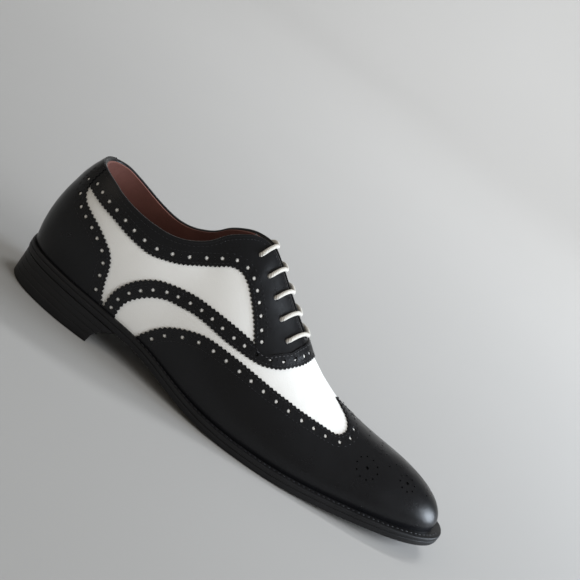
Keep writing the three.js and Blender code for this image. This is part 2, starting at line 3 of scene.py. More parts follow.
import math
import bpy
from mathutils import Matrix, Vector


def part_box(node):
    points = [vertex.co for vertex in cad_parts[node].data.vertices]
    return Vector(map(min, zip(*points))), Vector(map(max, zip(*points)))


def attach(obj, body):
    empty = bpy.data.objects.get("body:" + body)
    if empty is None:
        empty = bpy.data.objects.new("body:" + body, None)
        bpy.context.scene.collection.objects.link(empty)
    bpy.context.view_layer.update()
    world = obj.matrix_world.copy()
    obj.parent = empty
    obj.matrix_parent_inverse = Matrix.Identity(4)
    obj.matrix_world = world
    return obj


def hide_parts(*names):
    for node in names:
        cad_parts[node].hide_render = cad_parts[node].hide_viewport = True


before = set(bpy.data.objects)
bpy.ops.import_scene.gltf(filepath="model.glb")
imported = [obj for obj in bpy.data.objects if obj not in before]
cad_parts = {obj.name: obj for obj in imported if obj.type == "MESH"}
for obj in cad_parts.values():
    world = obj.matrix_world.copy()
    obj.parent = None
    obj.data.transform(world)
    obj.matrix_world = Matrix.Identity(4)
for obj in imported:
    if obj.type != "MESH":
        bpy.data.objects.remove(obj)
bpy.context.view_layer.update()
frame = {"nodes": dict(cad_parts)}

from types import SimpleNamespace

import bmesh
import bpy
import numpy as np
from bpy.props import FloatProperty, FloatVectorProperty, PointerProperty
from mathutils import Matrix, Vector
from mathutils.bvhtree import BVHTree
from mathutils.geometry import delaunay_2d_cdt
from mathutils.kdtree import KDTree

bl_info = {
    "name": "Spectator Shoe",
    "version": (1, 0, 0),
    "blender": (4, 5, 0),
    "location": "3D View > Sidebar > Shoe",
    "description": "Builds a black and white wing tip shoe, piece by piece, with its stage",
    "category": "Add Mesh",
}

# Sizes of the form, in millimetres. X runs from the heel to the toe, Y to the inner side, Z up.
MM = 0.001
HEEL_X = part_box("outsole")[0].x / MM
CENTRE_LINE = 0.589
LENGTH = 305.0
BALL_WIDTH = 100.0
INSTEP = 94.0
HEEL_HEIGHT = 18.0
TOE_SPRING = 11.0
WELT_MARGIN = 6.5
OUTSOLE = 4.2
WELT = 2.5
GAP = 0.3
HEEL_LENGTH = 60.5
HEEL_FLARE = 11.5
HEEL_HOLLOW = 5.0
HEEL_INSET = 0.8
HEEL_CURL = 2.5
MEDIAL_LEAD = 6.0
LEAD_FADE = 0.45
SLOT_HALF = 2.0
SLOPE_STEP = 0.004

# Layers, as distances off the form
OVERLAY = 1.2
WHITE_TOP = -1.1
WHITE_BACK = -2.35
LINING_TOP = -2.3
LINING_BACK = -3.5
TONGUE_TOP = -6.3
TONGUE_BACK = -8.1
FOOT = -0.012

# The form, section by section: the share of LENGTH, then the values that the scales below size
SCALES = {
    "lateral": BALL_WIDTH, "medial": BALL_WIDTH, "margin": WELT_MARGIN, "rise": HEEL_HEIGHT,
    "spring": TOE_SPRING, "ridge": INSTEP, "crown": BALL_WIDTH, "side": INSTEP, "bulge": BALL_WIDTH,
    "centre": BALL_WIDTH,
}
SECTIONS = [
    (0.000, 0.290, 0.290, 0.23, 0.98, 0.00, 0.911, 0.288, 0.437, 0.104, 0.000),
    (0.070, 0.305, 0.305, 0.23, 0.99, 0.00, 0.958, 0.265, 0.451, 0.087, 0.000),
    (0.145, 0.341, 0.330, 0.28, 0.96, 0.00, 0.998, 0.240, 0.462, 0.053, 0.000),
    (0.220, 0.360, 0.318, 0.34, 0.86, 0.00, 1.008, 0.220, 0.446, 0.035, 0.000),
    (0.300, 0.366, 0.280, 0.40, 0.65, 0.00, 1.007, 0.195, 0.428, 0.030, 0.000),
    (0.380, 0.415, 0.270, 0.49, 0.32, 0.00, 0.988, 0.175, 0.385, 0.034, 0.005),
    (0.460, 0.471, 0.320, 0.68, 0.08, 0.00, 0.850, 0.160, 0.320, 0.034, 0.010),
    (0.540, 0.500, 0.415, 0.80, 0.00, 0.00, 0.671, 0.158, 0.266, 0.029, 0.015),
    (0.620, 0.501, 0.485, 0.86, 0.00, 0.00, 0.516, 0.165, 0.219, 0.029, 0.015),
    (0.700, 0.469, 0.485, 0.89, 0.00, 0.09, 0.402, 0.175, 0.196, 0.024, 0.015),
    (0.780, 0.420, 0.440, 0.92, 0.00, 0.27, 0.337, 0.180, 0.181, 0.024, 0.015),
    (0.860, 0.369, 0.380, 0.95, 0.00, 0.51, 0.295, 0.182, 0.172, 0.025, 0.015),
    (0.930, 0.338, 0.330, 0.98, 0.00, 0.74, 0.273, 0.187, 0.168, 0.025, 0.015),
    (1.000, 0.314, 0.290, 1.00, 0.00, 1.00, 0.253, 0.188, 0.166, 0.025, 0.015),
]
HEEL_END = 0.144 * LENGTH
TOE_END = 0.82 * LENGTH
END_POWER = 2.3
HEEL_FAN = 0.295 * LENGTH
TOE_FAN = 0.656 * LENGTH

# Swellings: share of LENGTH, share of the way up, how long, how tall, how high
CREASES = [
    (0.30, 0.50, 0.035, 0.10, -0.9),
    (0.42, 0.62, 0.045, 0.14, 0.7),
    (0.20, 0.26, 0.080, 0.12, 0.6),
    (0.62, 0.62, 0.060, 0.20, 0.5),
]
# Folds that run up the side: share of LENGTH, lean, from and to on the way up, width, height
FOLDS = [
    (0.392, 0.02, 0.60, 0.86, 0.010, 0.45),
    (0.600, -0.06, 0.55, 0.98, 0.008, -0.28),
    (0.640, -0.05, 0.50, 0.95, 0.007, -0.22),
]

# Seams, as the share of LENGTH and the share of the way up a half section
TOPLINE = [
    (0.000, 0.512), (0.022, 0.505), (0.056, 0.488), (0.092, 0.462), (0.130, 0.444), (0.169, 0.441),
    (0.210, 0.456), (0.245, 0.492), (0.273, 0.548), (0.289, 0.600), (0.303, 0.665), (0.328, 0.755),
    (0.350, 0.833), (0.370, 0.890), (0.385, 0.925), (0.400, 0.948),
]
COUNTER_EDGE = [
    (0.190, -0.04), (0.187, 0.005), (0.177, 0.030), (0.166, 0.095), (0.157, 0.163), (0.144, 0.210),
    (0.124, 0.242), (0.098, 0.275), (0.069, 0.303), (0.043, 0.333), (0.028, 0.388), (0.018, 0.560),
]
BAND_TOP = [
    (0.190, -0.04), (0.189, 0.010), (0.188, 0.055), (0.191, 0.100), (0.199, 0.147), (0.213, 0.198),
    (0.231, 0.240), (0.250, 0.272), (0.274, 0.298), (0.299, 0.323), (0.325, 0.348), (0.353, 0.371),
    (0.381, 0.396), (0.410, 0.425), (0.441, 0.458), (0.462, 0.478),
]
STRIP_TOP = [
    (0.462, 0.478), (0.484, 0.492), (0.500, 0.527), (0.510, 0.570), (0.520, 0.615), (0.534, 0.688),
    (0.543, 0.787), (0.548, 0.845), (0.552, 0.938), (0.553, 1.000),
]
FACING_BACK = [
    (0.462, 0.483), (0.446, 0.520), (0.429, 0.550), (0.410, 0.575), (0.389, 0.598), (0.366, 0.602),
    (0.343, 0.572), (0.319, 0.510), (0.290, 0.445), (0.261, 0.390), (0.230, 0.352), (0.202, 0.328),
    (0.171, 0.324), (0.141, 0.331), (0.110, 0.347), (0.080, 0.360), (0.052, 0.375), (0.031, 0.388),
]
FACING_FRONT = [
    (0.474, 0.466), (0.497, 0.484), (0.512, 0.520), (0.522, 0.565), (0.533, 0.610), (0.547, 0.684),
    (0.555, 0.785), (0.560, 0.845), (0.564, 0.940), (0.565, 1.000),
]
BAND_BOTTOM = [
    (0.219, -0.04), (0.217, 0.010), (0.216, 0.040), (0.219, 0.085), (0.229, 0.128), (0.242, 0.164),
    (0.259, 0.200), (0.281, 0.232), (0.307, 0.256), (0.334, 0.284), (0.361, 0.306), (0.390, 0.327),
    (0.420, 0.353), (0.451, 0.388), (0.479, 0.423), (0.502, 0.460), (0.526, 0.522), (0.540, 0.575),
    (0.554, 0.650), (0.568, 0.745), (0.578, 0.870), (0.582, 1.000),
]
WING_EDGE = [
    (0.272, -0.04), (0.275, 0.010), (0.282, 0.045), (0.293, 0.092), (0.310, 0.143), (0.331, 0.190),
    (0.354, 0.233), (0.377, 0.270), (0.402, 0.300), (0.431, 0.330), (0.461, 0.360), (0.492, 0.387),
    (0.521, 0.411), (0.552, 0.438), (0.584, 0.470), (0.607, 0.492), (0.631, 0.520), (0.664, 0.558),
    (0.699, 0.600), (0.714, 0.672), (0.718, 0.763), (0.708, 0.870), (0.689, 0.938), (0.665, 1.000),
]
COLLAR_END = [(0.024, 0.398), (0.016, 0.440), (0.011, 0.500)]
LACE_HOLES = [(0.376, 0.772), (0.413, 0.758), (0.447, 0.742), (0.481, 0.725), (0.515, 0.700)]
SLOT_FRONT = 0.541
TONGUE_ENDS = (0.354, 0.600)
TONGUE_SIDE = 0.60
INNER_DROP = 0.058

# Punching
TEETH = {"wing": 2.95, "counter": 2.7, "facing_back": 2.6, "band_bottom": 2.9, "band_top": 2.9}
TOOTH_DEPTH = 1.05
TOOTH_STEPS = 8
RIM = 0.18
DOT_RADIUS = 1.25
DOT_SIDES = 14
PRICK_RADIUS = 0.24
PRICK_SIDES = 6
PRICK_RIM = 0.02
PRICK_SPREAD = 0.85
LACE_HOLE = 1.7
SINGLE_HOLE = 0.55
# Punched dots, in millimetres along each seam from the sole, and for the facing from its lower front
DOTS = {
    "wing": (7.5, 17, 29, 40, 51, 60.5, 70.5, 79.5, 89, 98.5, 108, 117.5, 126.5, 135.5, 143.5, 150, 156),
    "counter": (9.5, 18, 26.5, 36, 44, 51.5, 59, 65.5, 72, 79.5),
    "facing_back": (
        0.3, 7, 15, 22.5, 29.5, 36, 41.5, 47, 54, 63.5, 73.5, 84.5, 94.5, 104.5, 113, 121, 128.5, 135.5, 143,
        150,
    ),
    "band_bottom": (
        4, 9.5, 15.5, 21.5, 28, 35, 41, 49, 56, 63.5, 71.5, 80.5, 88.5, 97.5, 108, 118.5, 127.5, 136.5,
        142.5,
    ),
}
DOT_INSET = {"wing": 4.6, "counter": 4.2, "facing_back": 4.6, "band_bottom": 4.4}
# The dot of the band, counted from 0, in which no white leather shows
BARE_DOT = 13
# Rosettes: share of LENGTH, share of the way up, radius of the ring, its holes
ROSETTES = [(0.793, 0.503, 7.4, 10), (0.921, 0.585, 5.6, 8)]
# Single holes of the medallion, as shares like the seams'
SCATTER = [(0.846, 0.960), (0.785, 0.940), (0.897, 0.782), (0.859, 0.688), (0.985, 0.485)]

# Sewing: the spacing of stitches, and the distance of each row from its seam
STITCH_PITCH = 2.45
FIRST_ROW = 1.75
SECOND_ROW = 7.6
BAND_ROW = 6.9
BAND_ROW_LENGTH = 91.0
WELT_PITCH = 3.4
WELT_START = 70.0

# The camera: turn, lift and roll in degrees, its aim and its lens in millimetres, its way off in metres
CAMERA_ANGLES = (-5.105, 16.83, 36.87)
CAMERA_AIM = (141.469, 0.0, 87.426)
CAMERA_LENS = 96.1145
CAMERA_AWAY = 0.91444


def natural_spline(xs, ys):
    """Natural cubic curve through a column of values."""
    xs, ys = np.array(xs, float), np.array(ys, float)
    steps = np.diff(xs)
    system = np.eye(len(xs))
    turns = np.zeros(len(xs))
    for i in range(1, len(xs) - 1):
        system[i, i - 1:i + 2] = steps[i - 1], 2 * (steps[i - 1] + steps[i]), steps[i]
        turns[i] = 6 * ((ys[i + 1] - ys[i]) / steps[i] - (ys[i] - ys[i - 1]) / steps[i - 1])
    bends = np.linalg.solve(system, turns)

    def value(x):
        x = np.clip(x, xs[0], xs[-1])
        i = np.clip(np.searchsorted(xs, x) - 1, 0, len(xs) - 2)
        h = steps[i]
        a = (xs[i + 1] - x) / h
        b = 1 - a
        curve = (a ** 3 - a) * bends[i] + (b ** 3 - b) * bends[i + 1]
        return a * ys[i] + b * ys[i + 1] + curve * h * h / 6

    return value


ROW = SimpleNamespace(**{
    name: natural_spline([s[0] * LENGTH for s in SECTIONS], [s[i + 1] * scale for s in SECTIONS])
    for i, (name, scale) in enumerate(SCALES.items())
})


def smooth(x, start, end):
    """0 before start, 1 after end and a soft step between them."""
    share = np.clip((np.asarray(x, float) - start) / (end - start), 0, 1)
    return share * share * (3 - 2 * share)


def unit(v):
    return v / np.maximum(np.linalg.norm(v, axis=-1, keepdims=True), 1e-12)


def under(x):
    """The outsole's underside."""
    return np.maximum(0, ROW.rise(x) + ROW.spring(x))


def welt_top(x):
    return under(x) + OUTSOLE + GAP + WELT


def seam_height(x):
    return welt_top(x) + GAP


def station_x(share):
    """Stations stand closer together near both ends of the shoe."""
    return LENGTH / 2 * (1 - np.cos(np.pi * share))


def station_share(x):
    return np.arccos(np.clip(1 - 2 * np.asarray(x, float) / LENGTH, -1, 1)) / np.pi


def on_side(share, side):
    """The turn of a station on the outer side, -1, or on the inner side, 1."""
    return share if side < 0 else 2 - share


def turn_at(at, side):
    """The turn at a share of LENGTH, on one side."""
    return on_side(station_share(at * LENGTH), side)


def folded(turn):
    """A turn counted from the back of the heel on either side."""
    wrapped = np.mod(turn, 2)
    return np.minimum(wrapped, 2 - wrapped)


def length_share(turn):
    return station_x(folded(turn)) / LENGTH


def end_share(x):
    """How much of the full width is left near the round ends of the sole."""
    into = np.maximum(np.maximum((HEEL_END - x) / HEEL_END, (x - TOE_END) / (LENGTH - TOE_END)), 0)
    return np.maximum(0, 1 - np.minimum(into, 1) ** END_POWER) ** (1 / END_POWER)


def outline(x, side, inset):
    """The sole's outline, or one set in from it. side is -1 on the outer side and 1 on the inner side."""
    half = np.where(side < 0, ROW.lateral(x), ROW.medial(x))
    heel = HEEL_END + (x - HEEL_END) * (HEEL_END - inset) / HEEL_END
    toe = TOE_END + (x - TOE_END) * (LENGTH - TOE_END - inset) / (LENGTH - TOE_END)
    along = np.where(x < HEEL_END, heel, np.where(x > TOE_END, toe, x))
    return along, side * (half - inset) * end_share(x)


def ridge_x(x):
    """Where a section stands on the ridge: the sections fan out at both ends."""
    into = (x - TOE_FAN) / (LENGTH - TOE_FAN)
    toe = TOE_FAN + (LENGTH - TOE_FAN) / 2 * (2 * into - into * into)
    return np.where(x < HEEL_FAN, HEEL_FAN / 2 * (1 + (x / HEEL_FAN) ** 2), np.where(x < TOE_FAN, x, toe))


def form_parts(turn, t):
    """The axis, the direction away from it, and the distance out and the height of a point of the form."""
    turn, t = np.broadcast_arrays(np.asarray(turn, float), np.asarray(t, float))
    side = np.where(np.mod(turn, 2) <= 1, -1.0, 1.0)
    x = station_x(folded(turn))
    foot = np.stack(outline(x, side, ROW.margin(x)), -1)
    axis_x = ridge_x(x)
    axis = np.stack([axis_x, ROW.centre(axis_x)], -1)
    reach = np.linalg.norm(foot - axis, axis=-1)
    away = (foot - axis) / reach[..., None]
    top = seam_height(axis_x) + ROW.ridge(axis_x)
    ahead, behind = axis_x + 1, axis_x - 1
    slope = seam_height(ahead) + ROW.ridge(ahead) - seam_height(behind) - ROW.ridge(behind)
    start = seam_height(foot[..., 0])
    crown = ROW.crown(x)
    radial = (reach, reach + ROW.bulge(x), crown, 0 * crown)
    level = (start, start + ROW.side(x), top + slope / 2 * away[..., 0] * crown, top)
    weights = ((1 - t) ** 3, 3 * t * (1 - t) ** 2, 3 * t * t * (1 - t), t ** 3)
    out = sum(w * r for w, r in zip(weights, radial))
    height = sum(w * r for w, r in zip(weights, level))
    return axis, away, out, height


def form_point(turn, t):
    """The form as one loop: turn 0 at the back of the heel, 1 at the toe, and 2 back by the inner side."""
    axis, away, out, height = form_parts(turn, t)
    return np.concatenate([axis + away * out[..., None], height[..., None]], -1)


def form_slopes(turn, t):
    """How the form runs along and up, for each unit of turn and of t."""
    step = SLOPE_STEP
    low = np.minimum(t, 0.98)
    high = np.minimum(t, 1 - step)
    along = (form_point(turn + step, low) - form_point(turn - step, low)) / (2 * step)
    up = (form_point(turn, high + step) - form_point(turn, high - step)) / (2 * step)
    return along, up


def form_normal(turn, t):
    along, up = form_slopes(turn, t)
    return unit(np.cross(along, up))


def creases(turn, t):
    """Soft troughs and ridges of the worn leather, in millimetres off the form."""
    outer = np.mod(turn, 2) <= 1
    x = length_share(turn)
    swell = np.zeros(np.broadcast(x, t).shape)
    for at, up, wide, tall, high in CREASES:
        swell = swell + high * np.exp(-((x - at) / wide) ** 2 - ((t - up) / tall) ** 2)
    for at, lean, start, end, wide, high in FOLDS:
        line = at + lean * (t - start)
        along = smooth(t, start - 0.05, start + 0.08) * (1 - smooth(t, end - 0.08, end + 0.05))
        swell = swell + high * along * np.exp(-((x - line) / wide) ** 2)
    return swell * np.where(outer, 1.0, 0.8)


class Pattern:
    """The form flattened on a table, as a cutter draws its pieces: true to size from the ridge down."""

    COLUMNS = 240
    ROWS = 106
    LOW = -0.06

    def __init__(self):
        turns = np.linspace(0, 2, self.COLUMNS + 1)[:, None]
        ups = np.linspace(self.LOW, 1, self.ROWS + 1)[None, :]
        axis, away, out, height = form_parts(turns, ups)
        steps = np.hypot(np.diff(out, axis=1), np.diff(height, axis=1))
        down = np.concatenate([np.cumsum(steps[:, ::-1], 1)[:, ::-1], np.zeros((len(turns), 1))], 1)
        self.flat = axis + away * down[..., None]
        self.params = np.stack(np.broadcast_arrays(turns, ups), -1).reshape(-1, 2)
        index = np.arange((self.COLUMNS + 1) * (self.ROWS + 1)).reshape(self.COLUMNS + 1, self.ROWS + 1)
        a, b, c, d = index[:-1, :-1], index[1:, :-1], index[1:, 1:], index[:-1, 1:]
        triangles = np.stack([np.stack([a, b, c], -1), np.stack([a, c, d], -1)], 2).reshape(-1, 3)
        self.triangles = triangles
        self.points = self.flat.reshape(-1, 2)
        spots = [(x, y, 0.0) for x, y in self.points.tolist()]
        self.tree = BVHTree.FromPolygons(spots, triangles.tolist())

    def place(self, turn, t):
        """Where a point of the form lies on the pattern."""
        column = np.mod(turn, 2) / 2 * self.COLUMNS
        row = (np.clip(t, self.LOW, 1) - self.LOW) / (1 - self.LOW) * self.ROWS
        i = np.clip(np.floor(column).astype(int), 0, self.COLUMNS - 1)
        j = np.clip(np.floor(row).astype(int), 0, self.ROWS - 1)
        u, v = (column - i)[..., None], (row - j)[..., None]
        flat = self.flat
        low = flat[i, j] * (1 - u) + flat[i + 1, j] * u
        high = flat[i, j + 1] * (1 - u) + flat[i + 1, j + 1] * u
        return low * (1 - v) + high * v

    def find(self, spots):
        """Turn and share of the way up for spots on the pattern."""
        found = np.empty((len(spots), 2))
        for n, (x, y) in enumerate(np.asarray(spots, float).tolist()):
            nearest, _, index, _ = self.tree.find_nearest((x, y, 0.0))
            corners = self.triangles[index]
            (ax, ay), (bx, by), (cx, cy) = self.points[corners]
            area = (by - cy) * (ax - cx) + (cx - bx) * (ay - cy)
            a = ((by - cy) * (nearest.x - cx) + (cx - bx) * (nearest.y - cy)) / area
            b = ((cy - ay) * (nearest.x - cx) + (ax - cx) * (nearest.y - cy)) / area
            found[n] = a * self.params[corners[0]] + b * self.params[corners[1]]
            found[n] += (1 - a - b) * self.params[corners[2]]
        return found[:, 0], found[:, 1]

    def step(self, turn, t, move):
        """The spot that a small move over the leather, in millimetres, leads to."""
        along, up = form_slopes(turn, t)
        aa, ab, bb = (along * along).sum(-1), (along * up).sum(-1), (up * up).sum(-1)
        ma, mb = (move * along).sum(-1), (move * up).sum(-1)
        whole = aa * bb - ab * ab
        by_turn, by_up = (ma * bb - mb * ab) / whole, (mb * aa - ma * ab) / whole
        step = SLOPE_STEP
        high = np.minimum(t, 1 - step)
        flat_along = (self.place(turn + step, t) - self.place(turn - step, t)) / (2 * step)
        flat_up = (self.place(turn, high + step) - self.place(turn, high - step)) / (2 * step)
        return self.place(turn, t) + flat_along * by_turn[..., None] + flat_up * by_up[..., None]


PATTERN = Pattern()


class Seam:
    """A line on the form, measured along the leather in millimetres."""

    def __init__(self, turns, ups):
        self.turns, self.ups = np.asarray(turns, float), np.asarray(ups, float)
        steps = np.linalg.norm(np.diff(form_point(self.turns, self.ups), axis=0), axis=1)
        self.along = np.concatenate([[0], np.cumsum(steps)])
        self.length = self.along[-1]

    def at(self, s):
        return np.interp(s, self.along, self.turns), np.interp(s, self.along, self.ups)

    def frames(self, s):
        turn, up = self.at(s)
        ahead = form_point(*self.at(np.minimum(s + 0.4, self.length)))
        tangent = unit(ahead - form_point(*self.at(np.maximum(s - 0.4, 0))))
        return turn, up, tangent, unit(np.cross(form_normal(turn, up), tangent))

    def reach(self, up):
        """How far along the line it first comes to a share of the way up."""
        return float(self.along[np.argmax(self.ups >= up)])

    def aside(self, s, distance):
        """Spots on the pattern at a distance across the line."""
        turn, up, _, across = self.frames(s)
        return PATTERN.step(turn, up, across * np.asarray(distance, float)[..., None])


def smooth_line(table, count=24):
    """The table's points as a smooth line."""
    points = np.array(table, float)
    padded = np.vstack([points[:1], points, points[-1:]])
    share = np.linspace(0, 1, count, endpoint=False)[:, None]
    spans = []
    for a, b, c, d in zip(padded, padded[1:], padded[2:], padded[3:]):
        spans.append(0.5 * (2 * b + (c - a) * share + (2 * a - 5 * b + 4 * c - d) * share ** 2
                            + (3 * b - a - 3 * c + d) * share ** 3))
    return np.vstack([*spans, points[-1:]])


def seam(table, side):
    """A seam of the pattern on one side. The inner side's seams meet the sole further forward."""
    line = smooth_line(table)
    lead = MEDIAL_LEAD * np.maximum(0, 1 - line[:, 1] / LEAD_FADE) if side > 0 else 0
    share = station_share(line[:, 0] * LENGTH + lead)
    return Seam(on_side(share, side), line[:, 1])


def plain_edge(line, start=0.0, end=None, step=1.2):
    """Part of a seam as a plain edge: spots on the pattern."""
    end = line.length if end is None else end
    s = np.linspace(start, end, max(2, int(math.ceil((end - start) / step)) + 1))
    spots = PATTERN.place(*line.at(s))
    return spots, spots


def gimped_edge(line, inward, pitch, start=0.0, end=None):
    """Part of a seam with teeth: the cut edge, and the same edge set in by the rim's round."""
    end = line.length if end is None else end
    teeth = max(1, round((end - start) / pitch))
    share = np.arange(teeth * TOOTH_STEPS + 1) / TOOTH_STEPS
    s = start + share / teeth * (end - start)
    phase = share % 1
    bump = 0.7 * (1 - np.abs(2 * phase - 1)) + 0.3 * np.sin(np.pi * phase)
    slope = np.gradient(bump * TOOTH_DEPTH, s)
    turn, up, tangent, across = line.frames(s)
    out = -inward * (bump - 0.5) * TOOTH_DEPTH
    cut = across * out[:, None]
    face = unit(np.stack([slope, np.ones_like(slope)], -1)) * RIM
    top = cut + tangent * face[:, :1] + across * (inward * face[:, 1:])
    return PATTERN.step(turn, up, cut), PATTERN.step(turn, up, top)


def backwards(edge):
    return edge[0][::-1], edge[1][::-1]


def join_edges(*edges, least=0.05):
    """One closed outline from edges in turn, without points closer together than the least distance."""
    cut = np.vstack([e[0] for e in edges])
    top = np.vstack([e[1] for e in edges])
    keep = np.linalg.norm(cut - np.roll(cut, 1, axis=0), axis=1) > least
    return cut[keep], top[keep]


def round_end(outer_end, inner_end):
    """A half circle round the front of the throat's slot, from the outer side to the inner."""
    middle, half = (outer_end + inner_end) / 2, (outer_end - inner_end) / 2
    ahead = np.array([1.0, 0.0]) * np.linalg.norm(half)
    angles = np.linspace(0, np.pi, 9)[1:-1]
    spots = np.array([middle + half * math.cos(a) + ahead * math.sin(a) for a in angles])
    return spots, spots


def foot_edge(start, end, step=2.0):
    """The edge along the sole, from one turn to another."""
    count = max(2, int(abs(end - start) * LENGTH / step))
    turns = np.linspace(start, end, count + 1)
    spots = PATTERN.place(turns, np.full(count + 1, FOOT))
    return spots, spots


def punch(spots, radius, sides, rim=RIM):
    """Round holes at spots on the pattern, each as its cut edge and its wider top edge."""
    turns, ups = PATTERN.find(spots)
    holes = []
    angles = np.linspace(0, 2 * np.pi, sides, endpoint=False)
    for turn, up in zip(turns, ups):
        along, _ = form_slopes(turn, up)
        along = unit(along)
        across = np.cross(form_normal(turn, up), along)
        circle = np.cos(angles)[:, None] * along + np.sin(angles)[:, None] * across
        full_turn, full_up = np.full(sides, turn), np.full(sides, up)
        holes.append(tuple(PATTERN.step(full_turn, full_up, circle * r) for r in (radius, radius + rim)))
    return holes


def inside(spots, loop):
    """Which spots lie inside a closed outline."""
    x, y = spots[:, 0], spots[:, 1]
    result = np.zeros(len(spots), bool)
    for (ax, ay), (bx, by) in zip(loop, np.roll(loop, -1, axis=0)):
        if ay == by:
            continue
        crosses = ((ay > y) != (by > y)) & (x < (bx - ax) * (y - ay) / (by - ay) + ax)
        result ^= crosses
    return result


def place(points):
    """Millimetres of the form to the frame's metres."""
    return (np.asarray(points, float) + (HEEL_X, CENTRE_LINE, 0)) * MM


def on_form(turns, ups, out):
    """Points at a distance off the form, creases and all, in metres."""
    lift = out + creases(turns, ups)
    return place(form_point(turns, ups) + form_normal(turns, ups) * lift[..., None])


def finish_piece(piece, material, replaced, sharp=40):
    mesh = piece.data
    mesh.materials.clear()
    mesh.materials.append(material)
    mesh.shade_smooth()
    if sharp:
        mesh.set_sharp_from_angle(angle=math.radians(sharp))
    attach(piece, "root")
    for node in replaced:
        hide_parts(node)
    return piece


def add_piece(name, bm):
    mesh = bpy.data.meshes.new(name)
    bm.to_mesh(mesh)
    bm.free()
    piece = bpy.data.objects.new(name, mesh)
    bpy.context.scene.collection.objects.link(piece)
    return piece


def fill_outline(rim, openings, holes, grain):
    """Triangles between the outline and its holes. Gives the cut spots, the top spots and the triangles."""
    loops = [rim, *openings, *holes]
    cut = np.array([spot for loop in loops for spot in loop[0]])
    top = np.array([spot for loop in loops for spot in loop[1]])
    owner = np.array([n for n, loop in enumerate(loops) for _ in loop[0]])
    edges = []
    for loop in loops:
        first, count = len(edges), len(loop[0])
        edges += [(first + i, first + (i + 1) % count) for i in range(count)]
    low, high = rim[0].min(0), rim[0].max(0)
    xs = np.arange(low[0], high[0], grain)
    ys = np.arange(low[1], high[1], grain * 0.866)
    grid = np.array([(x + (j % 2) * grain / 2, y) for j, y in enumerate(ys) for x in xs])
    keep = inside(grid, rim[0])
    for loop in openings:
        keep &= ~inside(grid, loop[0])
    grid = grid[keep]
    tree = KDTree(len(cut))
    for i, (x, y) in enumerate(cut):
        tree.insert((x, y, 0), i)
    tree.balance()
    near = np.array([tree.find((x, y, 0))[2] for x, y in grid])
    grid = grid[near > grain * 0.42]
    for loop in holes:
        centre = loop[0].mean(0)
        reach = np.linalg.norm(loop[0] - centre, axis=1).max()
        grid = grid[np.linalg.norm(grid - centre, axis=1) > reach]
    spots = [Vector(p) for p in np.vstack([cut, grid])]
    made = delaunay_2d_cdt(spots, edges, [], 1, 1e-5)
    cut_spots = np.array([tuple(v) for v in made[0]])
    top_spots = cut_spots.copy()
    loop_of = np.full(len(cut_spots), -1)
    for i, origin in enumerate(made[3]):
        if origin and origin[0] < len(cut):
            top_spots[i] = top[origin[0]]
            loop_of[i] = owner[origin[0]]
    faces = np.array(made[2])
    centres = cut_spots[faces].mean(1)
    good = inside(centres, rim[0])
    for loop in openings:
        good &= ~inside(centres, loop[0])
    a, b, c = loop_of[faces].T
    in_hole = (a == b) & (a == c) & (a > len(openings))
    faces = faces[good & ~in_hole]
    used, renumbered = np.unique(faces, return_inverse=True)
    return cut_spots[used], top_spots[used], renumbered.reshape(faces.shape)


def cut_leather(name, rim, openings=(), holes=(), out=0.0, thick=OVERLAY, lift=None, grain=2.6):
    """A piece of leather on the form, cut from the pattern with its holes, and given thickness and soft rims."""
    cut_spots, top_spots, faces = fill_outline(rim, openings, holes, grain)
    layers = []
    for flat, depth in ((cut_spots, -thick), (cut_spots, -RIM), (top_spots, 0.0)):
        turns, ups = PATTERN.find(flat)
        extra = lift(turns, ups) if lift else 0.0
        layers.append(on_form(turns, ups, out + depth + extra + np.zeros(len(turns))))
    bm = bmesh.new()
    number = bm.verts.layers.int.new("number")
    verts = [bm.verts.new(p) for p in layers[0]]
    for i, vert in enumerate(verts):
        vert[number] = i
    for face in faces:
        bm.faces.new([verts[i] for i in face])
    bm.normal_update()
    skin = list(bm.faces)
    for n, layer in enumerate(layers[1:]):
        borders = dict.fromkeys(edge for face in skin for edge in face.edges)
        grown = bmesh.ops.extrude_face_region(bm, geom=[*skin, *borders], use_keep_orig=(n == 0))["geom"]
        skin = [g for g in grown if isinstance(g, bmesh.types.BMFace)]
        for vert in (g for g in grown if isinstance(g, bmesh.types.BMVert)):
            vert.co = layer[vert[number]]
    bmesh.ops.recalc_face_normals(bm, faces=bm.faces)
    return add_piece(name, bm)


